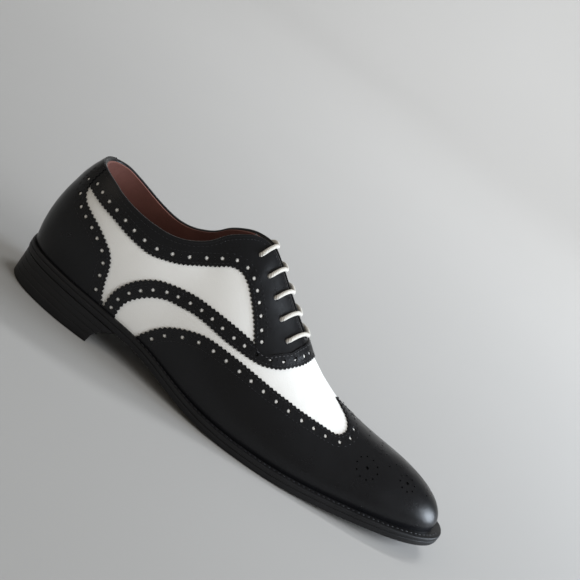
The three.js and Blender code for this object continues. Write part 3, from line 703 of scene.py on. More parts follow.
def loft(name, rings, closed=False, strips=True, travelled=()):
    """Rings of the same count joined in turn, with strips or a single face across the first and the last.

    With the distance travelled at each ring, in millimetres, the skin gets a UV map round and along it.
    """
    bm = bmesh.new()
    ring_of = bm.verts.layers.int.new("ring")
    spoke_of = bm.verts.layers.int.new("spoke")
    count = len(rings[0])
    ring = [bm.verts.new(p) for p in rings[0]]
    for k, vert in enumerate(ring):
        vert[spoke_of] = k
    edges = [bm.edges.new((ring[k], ring[(k + 1) % count])) for k in range(count)]
    first_edges, ends = edges, [ring]
    for n, points in enumerate(rings[1:], 1):
        grown = bmesh.ops.extrude_edge_only(bm, edges=edges)["geom"]
        fresh = {g for g in grown if isinstance(g, bmesh.types.BMVert)}
        for vert in fresh:
            vert[ring_of] = n
            vert.co = points[vert[spoke_of]]
        edges = [g for g in grown if isinstance(g, bmesh.types.BMEdge) and set(g.verts) <= fresh]
    ends.append(sorted(fresh, key=lambda vert: vert[spoke_of]))
    if closed:
        bmesh.ops.bridge_loops(bm, edges=[*edges, *first_edges])
    elif strips:
        for end in ends:
            for k in range(count // 2):
                corners = [end[k], end[k + 1], end[(count - k - 1) % count], end[(count - k) % count]]
                bm.faces.new(list(dict.fromkeys(corners)))
    else:
        for end in ends:
            bm.faces.new(end)
    if len(travelled):
        uv = bm.loops.layers.uv.new("UVMap")
        for face in bm.faces:
            spokes = [loop.vert[spoke_of] for loop in face.loops]
            wraps = max(spokes) - min(spokes) > 1
            for loop, spoke in zip(face.loops, spokes):
                turn = spoke + count if wraps and spoke == 0 else spoke
                loop[uv].uv = (turn / count, travelled[loop.vert[ring_of]])
    bmesh.ops.recalc_face_normals(bm, faces=bm.faces)
    return add_piece(name, bm)


def sweep(name, frames, profile, closed=False):
    """A profile carried along a path. frames: centre, side axis and up axis for each step, in metres."""
    rings = [[centre + side * a + up * b for a, b in profile] for centre, side, up in frames]
    centres = np.array([frame[0] for frame in frames])
    steps = np.linalg.norm(np.diff(centres, axis=0), axis=1)
    travelled = np.concatenate([[0], np.cumsum(steps)]) / MM
    return loft(name, rings, closed, strips=False, travelled=travelled)


def small_balls(name, centres, axes, sizes, segments, material):
    """Small stretched balls as one piece. axes: three directions of each ball. sizes: its half extents."""
    bm = bmesh.new()
    bmesh.ops.create_uvsphere(bm, u_segments=segments[0], v_segments=segments[1], radius=1.0)
    shape = np.array([v.co for v in bm.verts])
    faces = np.array([[*(v.index for v in f.verts), -1][:4] for f in bm.faces])
    bm.free()
    points = centres[:, None] + sum(
        axis[:, None] * shape[None, :, i:i + 1] * sizes[i] * MM for i, axis in enumerate(axes)
    )
    all_faces = [
        [int(i) + n * len(shape) for i in face if i >= 0] for n in range(len(centres)) for face in faces
    ]
    mesh = bpy.data.meshes.new(name)
    mesh.from_pydata(points.reshape(-1, 3).tolist(), [], all_faces)
    piece = bpy.data.objects.new(name, mesh)
    bpy.context.scene.collection.objects.link(piece)
    return finish_piece(piece, material, (), sharp=None)


def sew(name, rows, thread, length=1.7, width=0.38, proud=0.06):
    """Rows of stitches as one mesh. rows: centre, direction and normal of each stitch, in metres."""
    centres, alongs, normals = (np.concatenate([row[i] for row in rows]) for i in range(3))
    axes = (np.cross(normals, alongs), normals, alongs)
    sizes = (width / 2, width / 2, length / 2)
    return small_balls(name, centres + normals * proud * MM, axes, sizes, (6, 4), thread)


def stitch_row(line, inset, inward, start, end, lift=None):
    """A row of stitches beside a seam."""
    count = max(2, int((end - start) / STITCH_PITCH))
    s = np.linspace(start, end, count)
    _, _, tangent, _ = line.frames(s)
    turns, ups = PATTERN.find(line.aside(s, np.full(count, inset * inward)))
    extra = lift(turns, ups) if lift else 0.0
    normals = form_normal(turns, ups)
    along = unit(tangent - normals * (tangent * normals).sum(-1, keepdims=True))
    return on_form(turns, ups, extra + np.zeros(count)), along, normals


def slot_up(x, side):
    """The shares of the way up at which the throat's slot has its edge."""
    ups = np.linspace(0.80, 1.0, 201)
    result = []
    for at in x:
        y = form_point(on_side(station_share(at), side), ups)[:, 1] * side
        result.append(np.interp(-SLOT_HALF, -y, ups))
    return np.array(result)


def mouth_seam(side):
    """The topline on one side, from the back of the heel to the throat, and on to the front of the slot."""
    line = smooth_line(TOPLINE)
    if side > 0:
        line[:, 1] -= INNER_DROP * smooth(line[:, 0], 0.05, 0.24) * (1 - smooth(line[:, 0], 0.355, 0.405))
    xs = np.linspace(0.420, SLOT_FRONT, 24) * LENGTH
    slot = np.stack([xs / LENGTH, slot_up(xs, side)], -1)
    between = (0.411, (TOPLINE[-1][1] + slot[0, 1]) / 2 + 0.004)
    line = np.vstack([line, smooth_line([TOPLINE[-1], between, slot[0]]), slot])
    share = station_share(line[:, 0] * LENGTH)
    return Seam(share if side < 0 else -share, line[:, 1])


def topline_up(x):
    line = smooth_line(TOPLINE)
    return np.interp(x, line[:, 0], line[:, 1])


def seams():
    """All lines of the pattern, on both sides."""
    lines = SimpleNamespace()
    for name, table in (
        ("counter", COUNTER_EDGE), ("band_top", BAND_TOP), ("strip_top", STRIP_TOP),
        ("facing_back", FACING_BACK), ("facing_front", FACING_FRONT), ("band_bottom", BAND_BOTTOM),
        ("wing", WING_EDGE),
    ):
        setattr(lines, name, {side: seam(table, side) for side in (-1, 1)})
    lines.mouth = {side: mouth_seam(side) for side in (-1, 1)}
    return lines


LINES = seams()


def mouth_edge():
    """The closed edge of the mouth: topline and slot."""
    outer = plain_edge(LINES.mouth[-1])
    inner = plain_edge(LINES.mouth[1])
    return join_edges(outer, round_end(outer[0][-1], inner[0][-1]), backwards(inner))


def lace_hole_spots():
    return np.array([
        PATTERN.place(turn_at(at, side), np.array(up)) for at, up in LACE_HOLES for side in (-1, 1)
    ])


def dot_row(name, side, inward):
    """Spots for a seam's row of punched dots, and for the pairs of pricks between them."""
    line = getattr(LINES, name)[side]
    start = 0.0 if name == "facing_back" else line.reach(0.0)
    positions = start + np.array([place for place in DOTS[name] if start + place < line.length - 0.5])
    inset = DOT_INSET[name]
    inward = inward * side
    middles = (positions[:-1] + positions[1:]) / 2
    dots = line.aside(positions, np.full(len(positions), inset * inward))
    pricks = np.vstack([
        line.aside(middles, np.full(len(middles), (inset + move) * inward))
        for move in (-PRICK_SPREAD, PRICK_SPREAD)
    ])
    return dots, pricks


def punch_seam(name, inward):
    """A seam's punching on both sides: the dots' holes, the pricks' holes and the spots of the dots."""
    dots, pricks, seen = [], [], []
    for side in (-1, 1):
        spots, small = dot_row(name, side, inward)
        seen.append(spots)
        dots += punch(spots, DOT_RADIUS, DOT_SIDES)
        pricks += punch(small, PRICK_RADIUS, PRICK_SIDES, PRICK_RIM)
    return dots, pricks, seen


def strip_lift(turns, ups):
    """The strip round the throat lies on the facing and comes down on to the vamp at its front edge."""
    table = np.array(BAND_BOTTOM)
    front = np.interp(ups, table[:, 1], table[:, 0])
    behind = (front - length_share(turns)) * LENGTH
    return 0.75 * smooth(behind, 0.3, 6.3) * smooth(ups, 0.43, 0.53) + 0.03


def counter_lift(turns, ups):
    """The counter's top lies on the end of the collar strip."""
    return 0.1 + 0.5 * smooth(ups, 0.33, 0.40)


def sole_ring(inset, height, count=220):
    """A closed ring round the sole, finer round its ends. inset: a length, or what gives one at each x."""
    turns = np.linspace(0, 2, count, endpoint=False)
    side = np.where(turns <= 1, -1.0, 1.0)
    x = station_x(np.minimum(turns, 2 - turns))
    along, across = outline(x, side, inset(x) if callable(inset) else inset)
    return place(np.stack([along, across, height(along)], -1))


def sole_rings(profile, level=under):
    """Rings for a profile of insets and heights over a level."""
    return [sole_ring(inset, lambda x, h=height: level(x) + h) for inset, height in profile]


def off_margin(distance):
    """An inset that follows the upper's foot."""
    return lambda x: ROW.margin(x) + distance


# Finishes


class Finish:
    """A material with its nodes at hand."""

    def __init__(self, name):
        self.material = bpy.data.materials.new(name)
        self.material.use_nodes = True
        self.nodes = self.material.node_tree.nodes
        self.links = self.material.node_tree.links
        self.shader = self.nodes["Principled BSDF"]
        self.place = self.nodes.new("ShaderNodeTexCoord")

    def set(self, **values):
        for socket, value in values.items():
            self.shader.inputs[socket.replace("_", " ")].default_value = value

    def noise(self, scale, detail=3.0, roughness=0.5):
        node = self.nodes.new("ShaderNodeTexNoise")
        node.inputs["Scale"].default_value = scale
        node.inputs["Detail"].default_value = detail
        node.inputs["Roughness"].default_value = roughness
        self.links.new(self.place.outputs["Object"], node.inputs["Vector"])
        return node.outputs["Fac"]

    def cells(self, scale):
        node = self.nodes.new("ShaderNodeTexVoronoi")
        node.inputs["Scale"].default_value = scale
        self.links.new(self.place.outputs["Object"], node.inputs["Vector"])
        return node.outputs["Distance"]

    def spread(self, value, low, high, start=0.3, end=0.7):
        node = self.nodes.new("ShaderNodeMapRange")
        node.inputs["From Min"].default_value = start
        node.inputs["From Max"].default_value = end
        node.inputs["To Min"].default_value = low
        node.inputs["To Max"].default_value = high
        self.links.new(value, node.inputs["Value"])
        return node.outputs["Result"]

    def product(self, a, b):
        node = self.nodes.new("ShaderNodeMath")
        node.operation = "MULTIPLY"
        self.links.new(a, node.inputs[0])
        self.links.new(b, node.inputs[1])
        return node.outputs["Value"]

    def tint(self, share, first, second):
        node = self.nodes.new("ShaderNodeMix")
        node.data_type = "RGBA"
        node.inputs[6].default_value = (*first, 1)
        node.inputs[7].default_value = (*second, 1)
        self.links.new(share, node.inputs[0])
        return node.outputs[2]

    def bump(self, height, distance, strength=1.0, under=None):
        node = self.nodes.new("ShaderNodeBump")
        node.inputs["Strength"].default_value = strength
        node.inputs["Distance"].default_value = distance
        self.links.new(height, node.inputs["Height"])
        if under:
            self.links.new(under, node.inputs["Normal"])
        return node.outputs["Normal"]

    def wire(self, value, socket):
        self.links.new(value, self.shader.inputs[socket])

    def paint(self, cloud, first, second):
        """Blends two colours over the surface, cloud by cloud."""
        self.wire(self.tint(self.spread(cloud, 0, 1), first, second), "Base Color")


def shade(colour, factor):
    """A colour made darker or lighter."""
    return tuple(min(1.0, c * factor) for c in colour)


def calf(name, colour, rough, grain=0.00005, mottle=0.8, shine=0.5):
    """Smooth calf: fine pores, a faint crumple, and a finish that varies a little."""
    finish = Finish(name)
    cloud = finish.noise(22, 4, 0.55)
    finish.paint(cloud, shade(colour, mottle), colour)
    finish.wire(finish.spread(finish.noise(60, 4, 0.6), rough - 0.05, rough + 0.06), "Roughness")
    crumple = finish.bump(finish.noise(320, 3, 0.55), grain * 4, 0.22)
    pores = finish.product(finish.cells(1500), finish.noise(700, 2, 0.5))
    finish.wire(finish.bump(pores, grain, 0.8, crumple), "Normal")
    finish.set(Specular_IOR_Level=shine)
    return finish.material


def lining_hide(name, colour):
    finish = Finish(name)
    cloud = finish.noise(35, 5, 0.6)
    finish.paint(cloud, shade(colour, 0.72), shade(colour, 1.12))
    finish.wire(finish.spread(finish.noise(120, 3, 0.6), 0.48, 0.66), "Roughness")
    finish.wire(finish.bump(finish.cells(1100), 0.00006, 0.7), "Normal")
    return finish.material


def edge_ink(name, colour):
    """Inked and waxed sole leather: fibres along the edge under a worn shine."""
    finish = Finish(name)
    cloud = finish.noise(45, 5, 0.65)
    finish.paint(cloud, shade(colour, 0.7), shade(colour, 1.35))
    finish.wire(finish.spread(finish.noise(90, 4, 0.6), 0.42, 0.56), "Roughness")
    coarse = finish.bump(finish.noise(240, 4, 0.6), 0.00018, 0.5)
    finish.wire(finish.bump(finish.noise(1400, 3, 0.6), 0.00005, 0.7, coarse), "Normal")
    finish.set(Specular_IOR_Level=0.3)
    return finish.material


def cotton(name, colour):
    """Waxed cotton cord: a braid that runs round and along its UV map, with painted shade darkening its low
    grooves.
    """
    finish = Finish(name)
    braid = finish.nodes.new("ShaderNodeTexWave")
    braid.wave_type = "BANDS"
    braid.bands_direction = "DIAGONAL"
    braid.inputs["Scale"].default_value = 1.0
    braid.inputs["Distortion"].default_value = 0.0
    mapping = finish.nodes.new("ShaderNodeMapping")
    mapping.inputs["Scale"].default_value = (2.0, 0.55, 1.0)
    finish.links.new(finish.place.outputs["UV"], mapping.inputs["Vector"])
    finish.links.new(mapping.outputs["Vector"], braid.inputs["Vector"])
    height = braid.outputs["Fac"]
    # Painted shade: where the braid's height is low, in its grooves, the colour is made darker.
    finish.wire(finish.tint(height, shade(colour, 0.72), colour), "Base Color")
    finish.wire(finish.bump(height, 0.00018, 0.8), "Normal")
    finish.set(Roughness=0.82, Sheen_Weight=0.15)
    return finish.material


def thread_wax(name, colour):
    finish = Finish(name)
    finish.wire(finish.tint(finish.noise(300, 2), shade(colour, 0.7), shade(colour, 1.3)), "Base Color")
    finish.wire(finish.bump(finish.noise(3000, 2), 0.00004, 0.8), "Normal")
    finish.set(Roughness=0.5)
    return finish.material


def studio_paper(name, colour):
    finish = Finish(name)
    cloud = finish.noise(3, 2)
    finish.paint(cloud, shade(colour, 0.98), colour)
    finish.wire(finish.bump(finish.noise(900, 2), 0.00003, 0.3), "Normal")
    finish.set(Roughness=0.75)
    return finish.material


# Pieces


def chosen():
    return bpy.context.scene.shoe


def both_sides(name, inward, start_up=FOOT, end=None):
    """A seam as toothed edges of a black piece, on the outer and the inner side."""
    edges = {}
    for side, line in getattr(LINES, name).items():
        start = 0.0 if start_up is None else line.reach(start_up)
        stop = line.length if end is None else end[side]
        edges[side] = gimped_edge(line, side * inward, TEETH[name], start, stop)
    return edges


def foot_turns(name):
    """Where a seam meets the sole, on each side."""
    return {
        side: float(np.interp(line.reach(FOOT), line.along, line.turns))
        for side, line in getattr(LINES, name).items()
    }


def counter_top(side):
    """Where the counter's edge comes to the topline."""
    line = LINES.counter[side]
    above = (line.ups > topline_up(length_share(line.turns))) & (line.ups > 0.4)
    return float(line.along[np.argmax(above)])


def swell_dots(name, spots, leather, lift=None, radius=1.18, rise=0.5):
    """The leather that swells up in the punched holes, as low domes joined in one piece."""
    turns, ups = PATTERN.find(spots)
    extra = lift(turns, ups) if lift else 0.0
    centres = on_form(turns, ups, -1.15 + extra + np.zeros(len(turns)))
    normals = form_normal(turns, ups)
    along = unit(form_slopes(turns, ups)[0])
    axes = (along, np.cross(normals, along), normals)
    return small_balls(name, centres, axes, (radius, radius, rise), (12, 8), leather)


def make_wing(black, white):
    edges = both_sides("wing", 1)
    turns = foot_turns("wing")
    rim = join_edges(edges[-1], backwards(edges[1]), foot_edge(turns[1], turns[-1]))
    dots, pricks, seen = punch_seam("wing", 1)
    ornament, middles = medallion()
    wing = cut_leather("wing_leather", rim, (), dots + pricks + ornament)
    swell_dots("wing_dots", np.vstack(seen), white)
    swell_dots("medallion_backing", middles, black, radius=1.3, rise=0.3)
    return finish_piece(wing, black, ["wing_cap"], sharp=35)


def medallion():
    """The punched ornament on the toe: two rosettes on each side of the middle, and single holes."""
    holes, middles = [], []
    for at, up, radius, count in ROSETTES:
        for side in (-1, 1):
            centre = PATTERN.place(np.array([turn_at(at, side)]), np.array([up]))
            ring = punch(centre, radius, count, 0.0)[0][0]
            holes += punch(centre, 1.0, 12, 0.08)
            holes += punch(ring, SINGLE_HOLE, 8, 0.06)
            middles += [centre, ring]
    for at, up in SCATTER:
        for side in (-1, 1):
            single = PATTERN.place(np.array([turn_at(at, side)]), np.array([up]))
            holes += punch(single, SINGLE_HOLE, 8, 0.06)
            middles.append(single)
    return holes, np.vstack(middles)


def make_counter(black, white):
    tops = {side: counter_top(side) for side in (-1, 1)}
    edges = both_sides("counter", -1, end=tops)
    turns = foot_turns("counter")
    crossing = {side: float(LINES.counter[side].at(tops[side])[0]) for side in (-1, 1)}
    over = np.linspace(crossing[-1], crossing[1] - 2, 16)
    spots = PATTERN.place(over, topline_up(station_x(np.abs(over)) / LENGTH))
    rim = join_edges(
        edges[-1], (spots, spots), backwards(edges[1]), foot_edge(turns[1] - 2, turns[-1], 1.2),
    )
    dots, pricks, seen = punch_seam("counter", -1)
    counter = cut_leather("counter_leather", rim, (), dots + pricks, lift=counter_lift)
    swell_dots("counter_dots", np.vstack(seen), white, counter_lift)
    return finish_piece(counter, black, ["heel_counter"], sharp=35)


def make_facing(black, white):
    back = both_sides("facing_back", 1, start_up=None)
    table = np.array(COLLAR_END)
    front, ends, collar = {}, {}, {}
    for side in (-1, 1):
        front[side] = plain_edge(LINES.facing_front[side])
        spots = PATTERN.place(turn_at(table[:, 0], side), table[:, 1])
        ends[side] = (spots, spots)
        line = LINES.mouth[side]
        start = float(np.interp(float(turn_at(0.012, -1)), np.abs(line.turns), line.along))
        collar[side] = plain_edge(line, start)
    bow = round_end(collar[-1][0][-1], collar[1][0][-1])
    rim = join_edges(
        back[-1], ends[-1], collar[-1], bow, backwards(collar[1]), backwards(ends[1]), backwards(back[1]),
        front[1], backwards(front[-1]),
    )
    dots, pricks, seen = punch_seam("facing_back", 1)
    dots += punch(lace_hole_spots(), LACE_HOLE, 16)
    facing = cut_leather("facing_leather", rim, (), dots + pricks)
    swell_dots("facing_dots", np.vstack(seen), white)
    return finish_piece(facing, black, ["facing"], sharp=35)


def make_band(black, white):
    low = both_sides("band_bottom", -1)
    top = both_sides("band_top", 1)
    strip = {side: plain_edge(LINES.strip_top[side]) for side in (-1, 1)}
    low_turns, top_turns = foot_turns("band_bottom"), foot_turns("band_top")
    rim = join_edges(
        low[-1], backwards(low[1]), foot_edge(low_turns[1], top_turns[1], 1.2), top[1], strip[1],
        backwards(strip[-1]), backwards(top[-1]), foot_edge(top_turns[-1], low_turns[-1], 1.2),
    )
    dots, pricks, seen = punch_seam("band_bottom", -1)
    band = cut_leather("band_leather", rim, (), dots + pricks, lift=strip_lift)
    filled = np.vstack([np.delete(spots, BARE_DOT, 0) for spots in seen])
    bare = np.array([spots[BARE_DOT] for spots in seen])
    swell_dots("band_dots", filled, white, strip_lift)
    swell_dots("band_backing", bare, black, radius=1.5, rise=0.4)
    return finish_piece(band, black, ["facing"], sharp=35)


def make_white(white, lining):
    mouth = mouth_edge()
    foot = tuple(edge[:-1] for edge in foot_edge(0.0, 2.0))
    holes = punch(lace_hole_spots(), LACE_HOLE + 0.1, 12)
    for name, out, back, grain, material, slot in (
        ("white_upper", WHITE_TOP, WHITE_BACK, 2.6, white, "white_leather"),
        ("lining", LINING_TOP, LINING_BACK, 3.2, lining, "lining_leather"),
    ):
        piece = cut_leather(name, foot, [mouth], holes, out=out, thick=out - back, grain=grain)
        finish_piece(piece, material, ["upper"])


def make_binding(black):
    """The thin black fold over the edge of the mouth."""
    turns, ups = PATTERN.find(mouth_edge()[0])
    normals = form_normal(turns, ups)
    centres = on_form(turns, ups, np.zeros(len(turns)))
    for _ in range(2):
        centres = (np.roll(centres, 1, 0) + 2 * centres + np.roll(centres, -1, 0)) / 4
    along = unit(np.roll(centres, -1, 0) - np.roll(centres, 1, 0))
    across = unit(np.cross(along, normals))
    middle = centres.mean(0)
    if ((middle - centres) * across).sum(-1).mean() < 0:
        across = -across
    outer, inner, top, skirt = 0.10, -2.45, 0.45, -1.3
    profile = [
        (outer - 0.25, skirt), (outer, skirt * 0.6), (outer, 0.05), (outer - 0.35, top * 0.75),
        (outer - 0.85, top), (inner + 0.8, top), (inner + 0.3, top * 0.75),
        (inner, 0.05), (inner, skirt * 0.6), (inner + 0.25, skirt),
    ]
    frames = list(zip(centres, normals, across))
    binding = sweep("topline_fold", frames, [(a * MM, b * MM) for a, b in profile], closed=True)
    return finish_piece(binding, black, ["facing"], sharp=None)


def make_tongue(black):
    back, front = TONGUE_ENDS
    outer = [(back + 0.020, 0.64), (back + 0.045, TONGUE_SIDE), (0.47, TONGUE_SIDE), (front, 0.66)]
    line = smooth_line([(back, 0.80), (back + 0.006, 0.70), *outer])
    top = np.array([(back, v) for v in np.linspace(1.0, 0.82, 8)])
    end = np.array([(front, v) for v in np.linspace(0.68, 1.0, 12)])
    half = np.vstack([top, line, end])
    share = station_share(half[:, 0] * LENGTH)
    spots = np.vstack([PATTERN.place(share, half[:, 1]), PATTERN.place(2 - share, half[:, 1])[::-1]])
    rim = join_edges((spots, spots), least=0.3)
    tongue = cut_leather(
        "tongue_leather", rim, out=TONGUE_TOP, thick=TONGUE_TOP - TONGUE_BACK, grain=3.0,
    )
    return finish_piece(tongue, black, ["tongue"])


def lace_route():
    """The cord's way: a bar over each pair of holes and a run under a facing from each bar to the next."""
    bar, below = 1.35, -4.95
    route = []

    def spot(hole, side, up_move, out):
        at, up = LACE_HOLES[hole]
        lean = (0.017 + 0.003 * hole) * max(0.0, up_move) / (1 - up)
        turn = turn_at(at + lean, side)
        up = up + up_move
        if up > 1:
            turn, up = 2 - turn, 2 - up
        route.append(form_point(turn, up) + form_normal(turn, up) * out)

    def cross(hole, side):
        rest = 1 - LACE_HOLES[hole][1]
        climb = [(-0.006, -3.2), (-0.002, -0.9), (0.010, 0.95), (0.040, bar)]
        climb += [(rest * 0.35, bar + 0.15), (rest * 0.7, bar + 0.1)]
        for up_move, out in climb:
            spot(hole, side, up_move, out)
        spot(hole, side, rest, bar - 0.1)
        for up_move, out in reversed(climb):
            spot(hole, -side, up_move, out)

    def run(start, stop, side, aside):
        first, last = LACE_HOLES[start], LACE_HOLES[stop]
        for share in (0.15, 0.5, 0.85):
            at = first[0] + (last[0] - first[0]) * share
            up = first[1] + (last[1] - first[1]) * share + aside * math.sin(math.pi * share)
            turn = turn_at(at, side)
            route.append(form_point(turn, up) + form_normal(turn, up) * below)

    spot(0, -1, -0.016, below)
    run(0, 1, -1, -0.016)
    cross(1, -1)
    run(1, 3, 1, 0.018)
    cross(3, 1)
    run(3, 4, -1, 0.0)
    cross(4, -1)
    run(4, 2, 1, -0.018)
    cross(2, 1)
    run(2, 0, -1, 0.018)
    cross(0, -1)
    spot(0, 1, 0.02, below)
    spot(0, 1, 0.07, below)
    return np.array(route)


def smooth_route(points, step):
    """The points as one smooth path with even steps, in millimetres."""
    dense = smooth_line(points, 12)
    for _ in range(3):
        dense[1:-1] = (dense[:-2] + 2 * dense[1:-1] + dense[2:]) / 4
    along = np.concatenate([[0], np.cumsum(np.linalg.norm(np.diff(dense, axis=0), axis=1))])
    even = np.linspace(0, along[-1], int(along[-1] / step) + 1)
    return np.stack([np.interp(even, along, dense[:, i]) for i in range(3)], -1)


def carried_frames(points):
    """Frames along a path that turn no more than they must."""
    tangents = unit(np.gradient(points, axis=0))
    side = unit(np.cross(tangents[0], (0.0, 0.0, 1.0)))
    frames = []
    for point, tangent in zip(points, tangents):
        side = unit(side - tangent * (side @ tangent))
        frames.append((point, side, np.cross(tangent, side)))
    return frames


def make_lace(thickness, cord):
    points = place(smooth_route(lace_route(), 0.55))
    angles = np.linspace(0, 2 * np.pi, 14, endpoint=False)
    profile = [(thickness / 2 * math.cos(a), thickness / 2 * math.sin(a)) for a in angles]
    lace = sweep("lace_cord", carried_frames(points), profile)
    return finish_piece(lace, cord, ["lace"], sharp=None)


def make_stitches(thread, pale):
    rows, strips = [], []
    for side in (-1, 1):
        for name, inward, first_up, stop, lift in (
            ("wing", 1, 0.0, None, None), ("counter", -1, 0.0, counter_top(side) - 1.0, counter_lift),
            ("band_bottom", -1, 0.0, None, strip_lift), ("band_top", 1, 0.0, None, strip_lift),
            ("facing_back", 1, None, None, None),
        ):
            line = getattr(LINES, name)[side]
            start = 1.0 if first_up is None else line.reach(first_up) + 1.5
            end = (line.length if stop is None else stop) - 1.0
            rows.append(stitch_row(line, FIRST_ROW, inward * side, start, end, lift))
            if name in ("wing", "facing_back", "counter"):
                rows.append(stitch_row(line, SECOND_ROW, inward * side, start + 3, end - 3, lift))
            if name == "band_bottom":
                first = start + 3
                rows.append(stitch_row(line, BAND_ROW, inward * side, first, first + BAND_ROW_LENGTH, lift))
        strip, mouth = LINES.strip_top[side], LINES.mouth[side]
        strips.append(stitch_row(strip, 1.4, side, 5.0, strip.length, strip_lift))
        rows.append(stitch_row(mouth, 2.6, side, 6.0, mouth.length - 1.0))
    sew("strip_stitches", strips, pale)
    return sew("leather_stitches", rows, thread)


def make_sole(ink):
    edge = [
        (8.0, 0.0), (6.4, 0.0), (6.1, 0.25), (5.6, 0.25), (5.3, 0.0), (2.2, 0.0), (1.25, 0.10),
        (0.62, 0.42), (0.25, 1.0), (0.06, 1.9), (0.0, 2.8), (0.0, 3.75), (0.12, 4.05), (0.4, OUTSOLE),
        (1.2, OUTSOLE),
    ]
    sole = loft("outsole_leather", sole_rings(edge))
    finish_piece(sole, ink, ["outsole"], sharp=50)
    base = OUTSOLE + GAP
    edge = [
        (1.2, -0.3), (0.45, -0.3), (0.10, -0.12), (0.0, 0.2), (0.0, 1.2), (0.10, 1.75), (0.38, 2.2),
        (0.85, 2.42), (1.4, WELT), (off_margin(-1.2), WELT), (off_margin(0.8), 2.2), (off_margin(7), 2.2),
        (off_margin(7), -0.3),
    ]
    welt = loft("welt_leather", sole_rings(edge, lambda x: under(x) + base), closed=True)
    return finish_piece(welt, ink, ["welt"], sharp=50)


def make_welt_stitches(thread):
    x = np.linspace(0.02, 0.995, 1200) * LENGTH
    rows = []
    for side in (-1.0, 1.0):
        along, across = outline(x, side, np.minimum(2.9, ROW.margin(x) * 0.5))
        line = np.stack([along, across, welt_top(along)], -1)
        travelled = np.concatenate([[0], np.cumsum(np.linalg.norm(np.diff(line, axis=0), axis=1))])
        even = np.arange(WELT_START, travelled[-1], WELT_PITCH)
        centres, ahead = (
            np.stack([np.interp(even + step, travelled, line[:, i]) for i in range(3)], -1)
            for step in (0, 0.5)
        )
        rows.append((place(centres), unit(ahead - centres), np.tile((0.0, 0.0, 1.0), (len(even), 1))))
    return sew("welt_stitches", rows, thread, 2.7, 0.75, 0.1)


def heel_ring(level, inset, columns=60, breast_points=24):
    """A ring round the heel at a share of its height, with the breast hollowed between its two corners."""
    breast = HEEL_LENGTH + HEEL_FLARE * level ** HEEL_CURL - inset
    fan = breast * (1 - np.cos(np.pi / 2 * np.arange(columns + 1) / columns))
    outer_x, outer_y = outline(fan, -1.0, HEEL_INSET + inset)
    inner_x, inner_y = outline(fan, 1.0, HEEL_INSET + inset)
    share = np.arange(1, breast_points) / breast_points
    front = breast - HEEL_HOLLOW * np.sin(np.pi * share)
    across = outer_y[-1] + (inner_y[-1] - outer_y[-1]) * share
    x = np.concatenate([outer_x, front, inner_x[1:][::-1]])
    y = np.concatenate([outer_y, across, inner_y[1:][::-1]])
    return place(np.stack([x, y, level * (under(x) - GAP / 3)], -1))


def make_heel(ink):
    levels = [(0.0, 0.9), (0.012, 0.35), (0.035, 0.05)]
    for lift_seam in (0.33, 0.55, 0.77):
        levels += [
            (lift_seam + step, inset)
            for step, inset in ((-0.03, 0.0), (-0.008, 0.03), (0, 0.22), (0.008, 0.03), (0.03, 0.0))
        ]
    levels += [(0.97, 0.0), (1.0, 0.1)]
    heel = loft("heel_stack", [heel_ring(*level) for level in levels], strips=False)
    return finish_piece(heel, ink, ["heel"], sharp=50)


def make_sock(lining):
    profile = [(3.9, 0.0), (3.75, 0.5), (3.8, 1.6), (4.3, 2.1), (5.4, 2.3), (9.0, 2.05), (14.0, 1.8)]
    sock = loft("sock", sole_rings([(off_margin(inset), height) for inset, height in profile], seam_height))
    return finish_piece(sock, lining, ["insole"], sharp=None)


